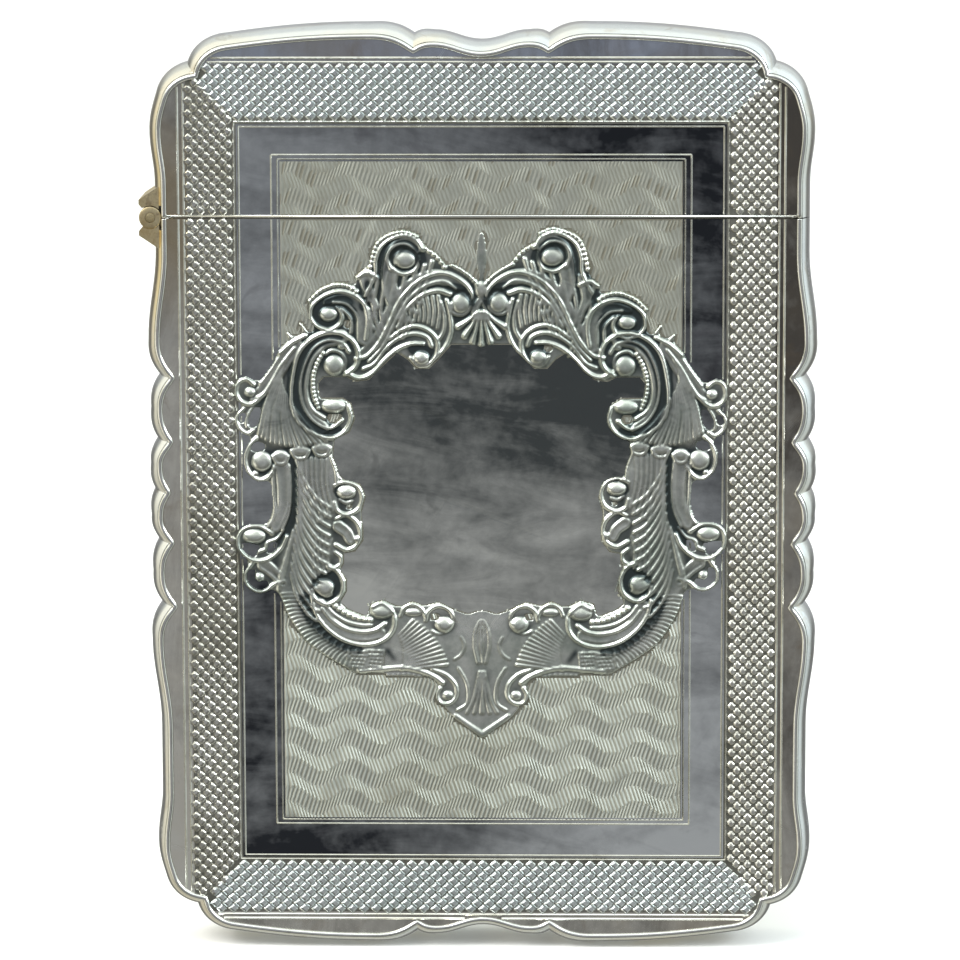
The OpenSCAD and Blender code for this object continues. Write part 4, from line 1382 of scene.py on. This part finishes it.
def add_world():
    """A light tent: pale all round, with a dark opening straight in front and behind."""
    world = bpy.data.worlds.new("studio")
    bpy.context.scene.world = world
    world.use_nodes = True
    tree = world.node_tree
    background = tree.nodes["Background"]
    coords = tree.nodes.new("ShaderNodeTexCoord").outputs["Generated"]
    parts = tree.nodes.new("ShaderNodeSeparateXYZ")
    tree.links.new(coords, parts.inputs[0])

    def ranged(value, low, high, a, b, smooth=True):
        node = tree.nodes.new("ShaderNodeMapRange")
        node.interpolation_type = "SMOOTHSTEP" if smooth else "LINEAR"
        for name, number in (("From Min", low), ("From Max", high), ("To Min", a), ("To Max", b)):
            node.inputs[name].default_value = number
        tree.links.new(value, node.inputs["Value"])
        return node.outputs["Result"]

    def mix(factor, a, b):
        node = tree.nodes.new("ShaderNodeMix")
        node.data_type = "RGBA"
        tree.links.new(factor, node.inputs["Factor"])
        sockets = [s for s in node.inputs if s.type == "RGBA"]
        for socket, value in zip(sockets, (a, b)):
            if isinstance(value, tuple):
                socket.default_value = (*value, 1)
            else:
                tree.links.new(value, socket)
        return [s for s in node.outputs if s.type == "RGBA"][0]

    def multiply(a, b):
        node = tree.nodes.new("ShaderNodeMix")
        node.data_type = "RGBA"
        node.blend_type = "MULTIPLY"
        node.inputs["Factor"].default_value = 1.0
        sockets = [s for s in node.inputs if s.type == "RGBA"]
        tree.links.new(a, sockets[0])
        tree.links.new(b, sockets[1])
        return [s for s in node.outputs if s.type == "RGBA"][0]

    def add(a, b, share):
        node = tree.nodes.new("ShaderNodeMath")
        node.operation = "MULTIPLY_ADD"
        tree.links.new(b, node.inputs[0])
        node.inputs[1].default_value = share
        tree.links.new(a, node.inputs[2])
        return node.outputs[0]

    def softbox(colour, towards, size, tint):
        """Adds a soft round patch of light in one direction."""
        node = tree.nodes.new("ShaderNodeVectorMath")
        node.operation = "DOT_PRODUCT"
        tree.links.new(coords, node.inputs[0])
        node.inputs[1].default_value = Vector(towards).normalized()
        glow = ranged(node.outputs["Value"], math.cos(size * 1.3), math.cos(size * 0.7), 0, 1)
        return mix(glow, colour, tint)

    x, y, z = parts.outputs
    sides = mix(ranged(x, -0.9, 0.9, 0, 1), (1.0, 0.93, 0.76), (0.94, 1.0, 0.98))
    around = multiply(sides, mix(ranged(z, -0.5, 0.5, 0, 1), (0.50, 0.50, 0.47), (0.95, 0.99, 1.0)))
    lifted = ranged(add(z, x, 0.15), -0.12, 0.45, 0, 1)
    oblique = mix(lifted, (0.13, 0.13, 0.12), (0.62, 0.65, 0.62))
    for towards, size, tint in SOFTBOXES:
        oblique = softbox(oblique, towards, size, tint)
    front = mix(ranged(z, -0.30, -0.03, 0, 1), (0.34, 0.34, 0.34), (0.21, 0.215, 0.23))
    colour = mix(ranged(y, -0.50, -0.2, 0, 1), oblique, around)
    colour = mix(ranged(y, -0.97, -0.88, 1, 0), colour, front)
    colour = mix(ranged(y, 0.60, 0.80, 0, 1), colour, oblique)
    colour = mix(ranged(y, 0.90, 0.98, 0, 1), colour, (0.36, 0.36, 0.37))
    tree.links.new(colour, background.inputs["Color"])
    background.inputs["Strength"].default_value = 1.15


def add_light(name, place, target, size, power, colour):
    light = bpy.data.lights.new(name, "AREA")
    light.shape = "SQUARE"
    light.size = size
    light.energy = power
    light.color = colour
    lamp = bpy.data.objects.new(name, light)
    lamp.location = place
    lamp.rotation_euler = (Vector(target) - Vector(place)).to_track_quat("-Z", "Y").to_euler()
    bpy.context.scene.collection.objects.link(lamp)


CAMERA_TURN = 1.4
CAMERA_HEIGHT = 9.5
CAMERA_DISTANCE = 0.540
CAMERA_LENS = 187.9
CAMERA_ROLL = -0.15
CAMERA_SHIFT = (-0.0031, 0.0063)


def add_camera():
    turn, height = math.radians(CAMERA_TURN), math.radians(CAMERA_HEIGHT)
    ahead = Vector((-math.sin(turn) * math.cos(height), math.cos(turn) * math.cos(height),
                    -math.sin(height)))
    camera_data = bpy.data.cameras.new("camera")
    camera = bpy.data.objects.new("camera", camera_data)
    camera.location = Vector((0, 0, CENTRE_Z * MM)) - ahead * CAMERA_DISTANCE
    aim = ahead.to_track_quat("-Z", "Y").to_matrix()
    camera.rotation_euler = (aim @ Matrix.Rotation(math.radians(CAMERA_ROLL), 3, "Z")).to_euler()
    camera_data.lens = CAMERA_LENS
    camera_data.sensor_width = 36
    camera_data.shift_x, camera_data.shift_y = CAMERA_SHIFT
    camera_data.clip_start = 0.01
    bpy.context.scene.collection.objects.link(camera)
    bpy.context.scene.camera = camera


add_floor()
add_world()
target = (0, 0, 0.05)
add_light("key", (-0.7, -0.5, 0.9), target, 0.6, 9, (1.0, 0.98, 0.94))
add_light("fill", (0.9, -0.3, 0.5), target, 0.5, 4.5, (0.95, 1.0, 1.0))
add_camera()
bpy.context.scene.view_settings.view_transform = "Standard"
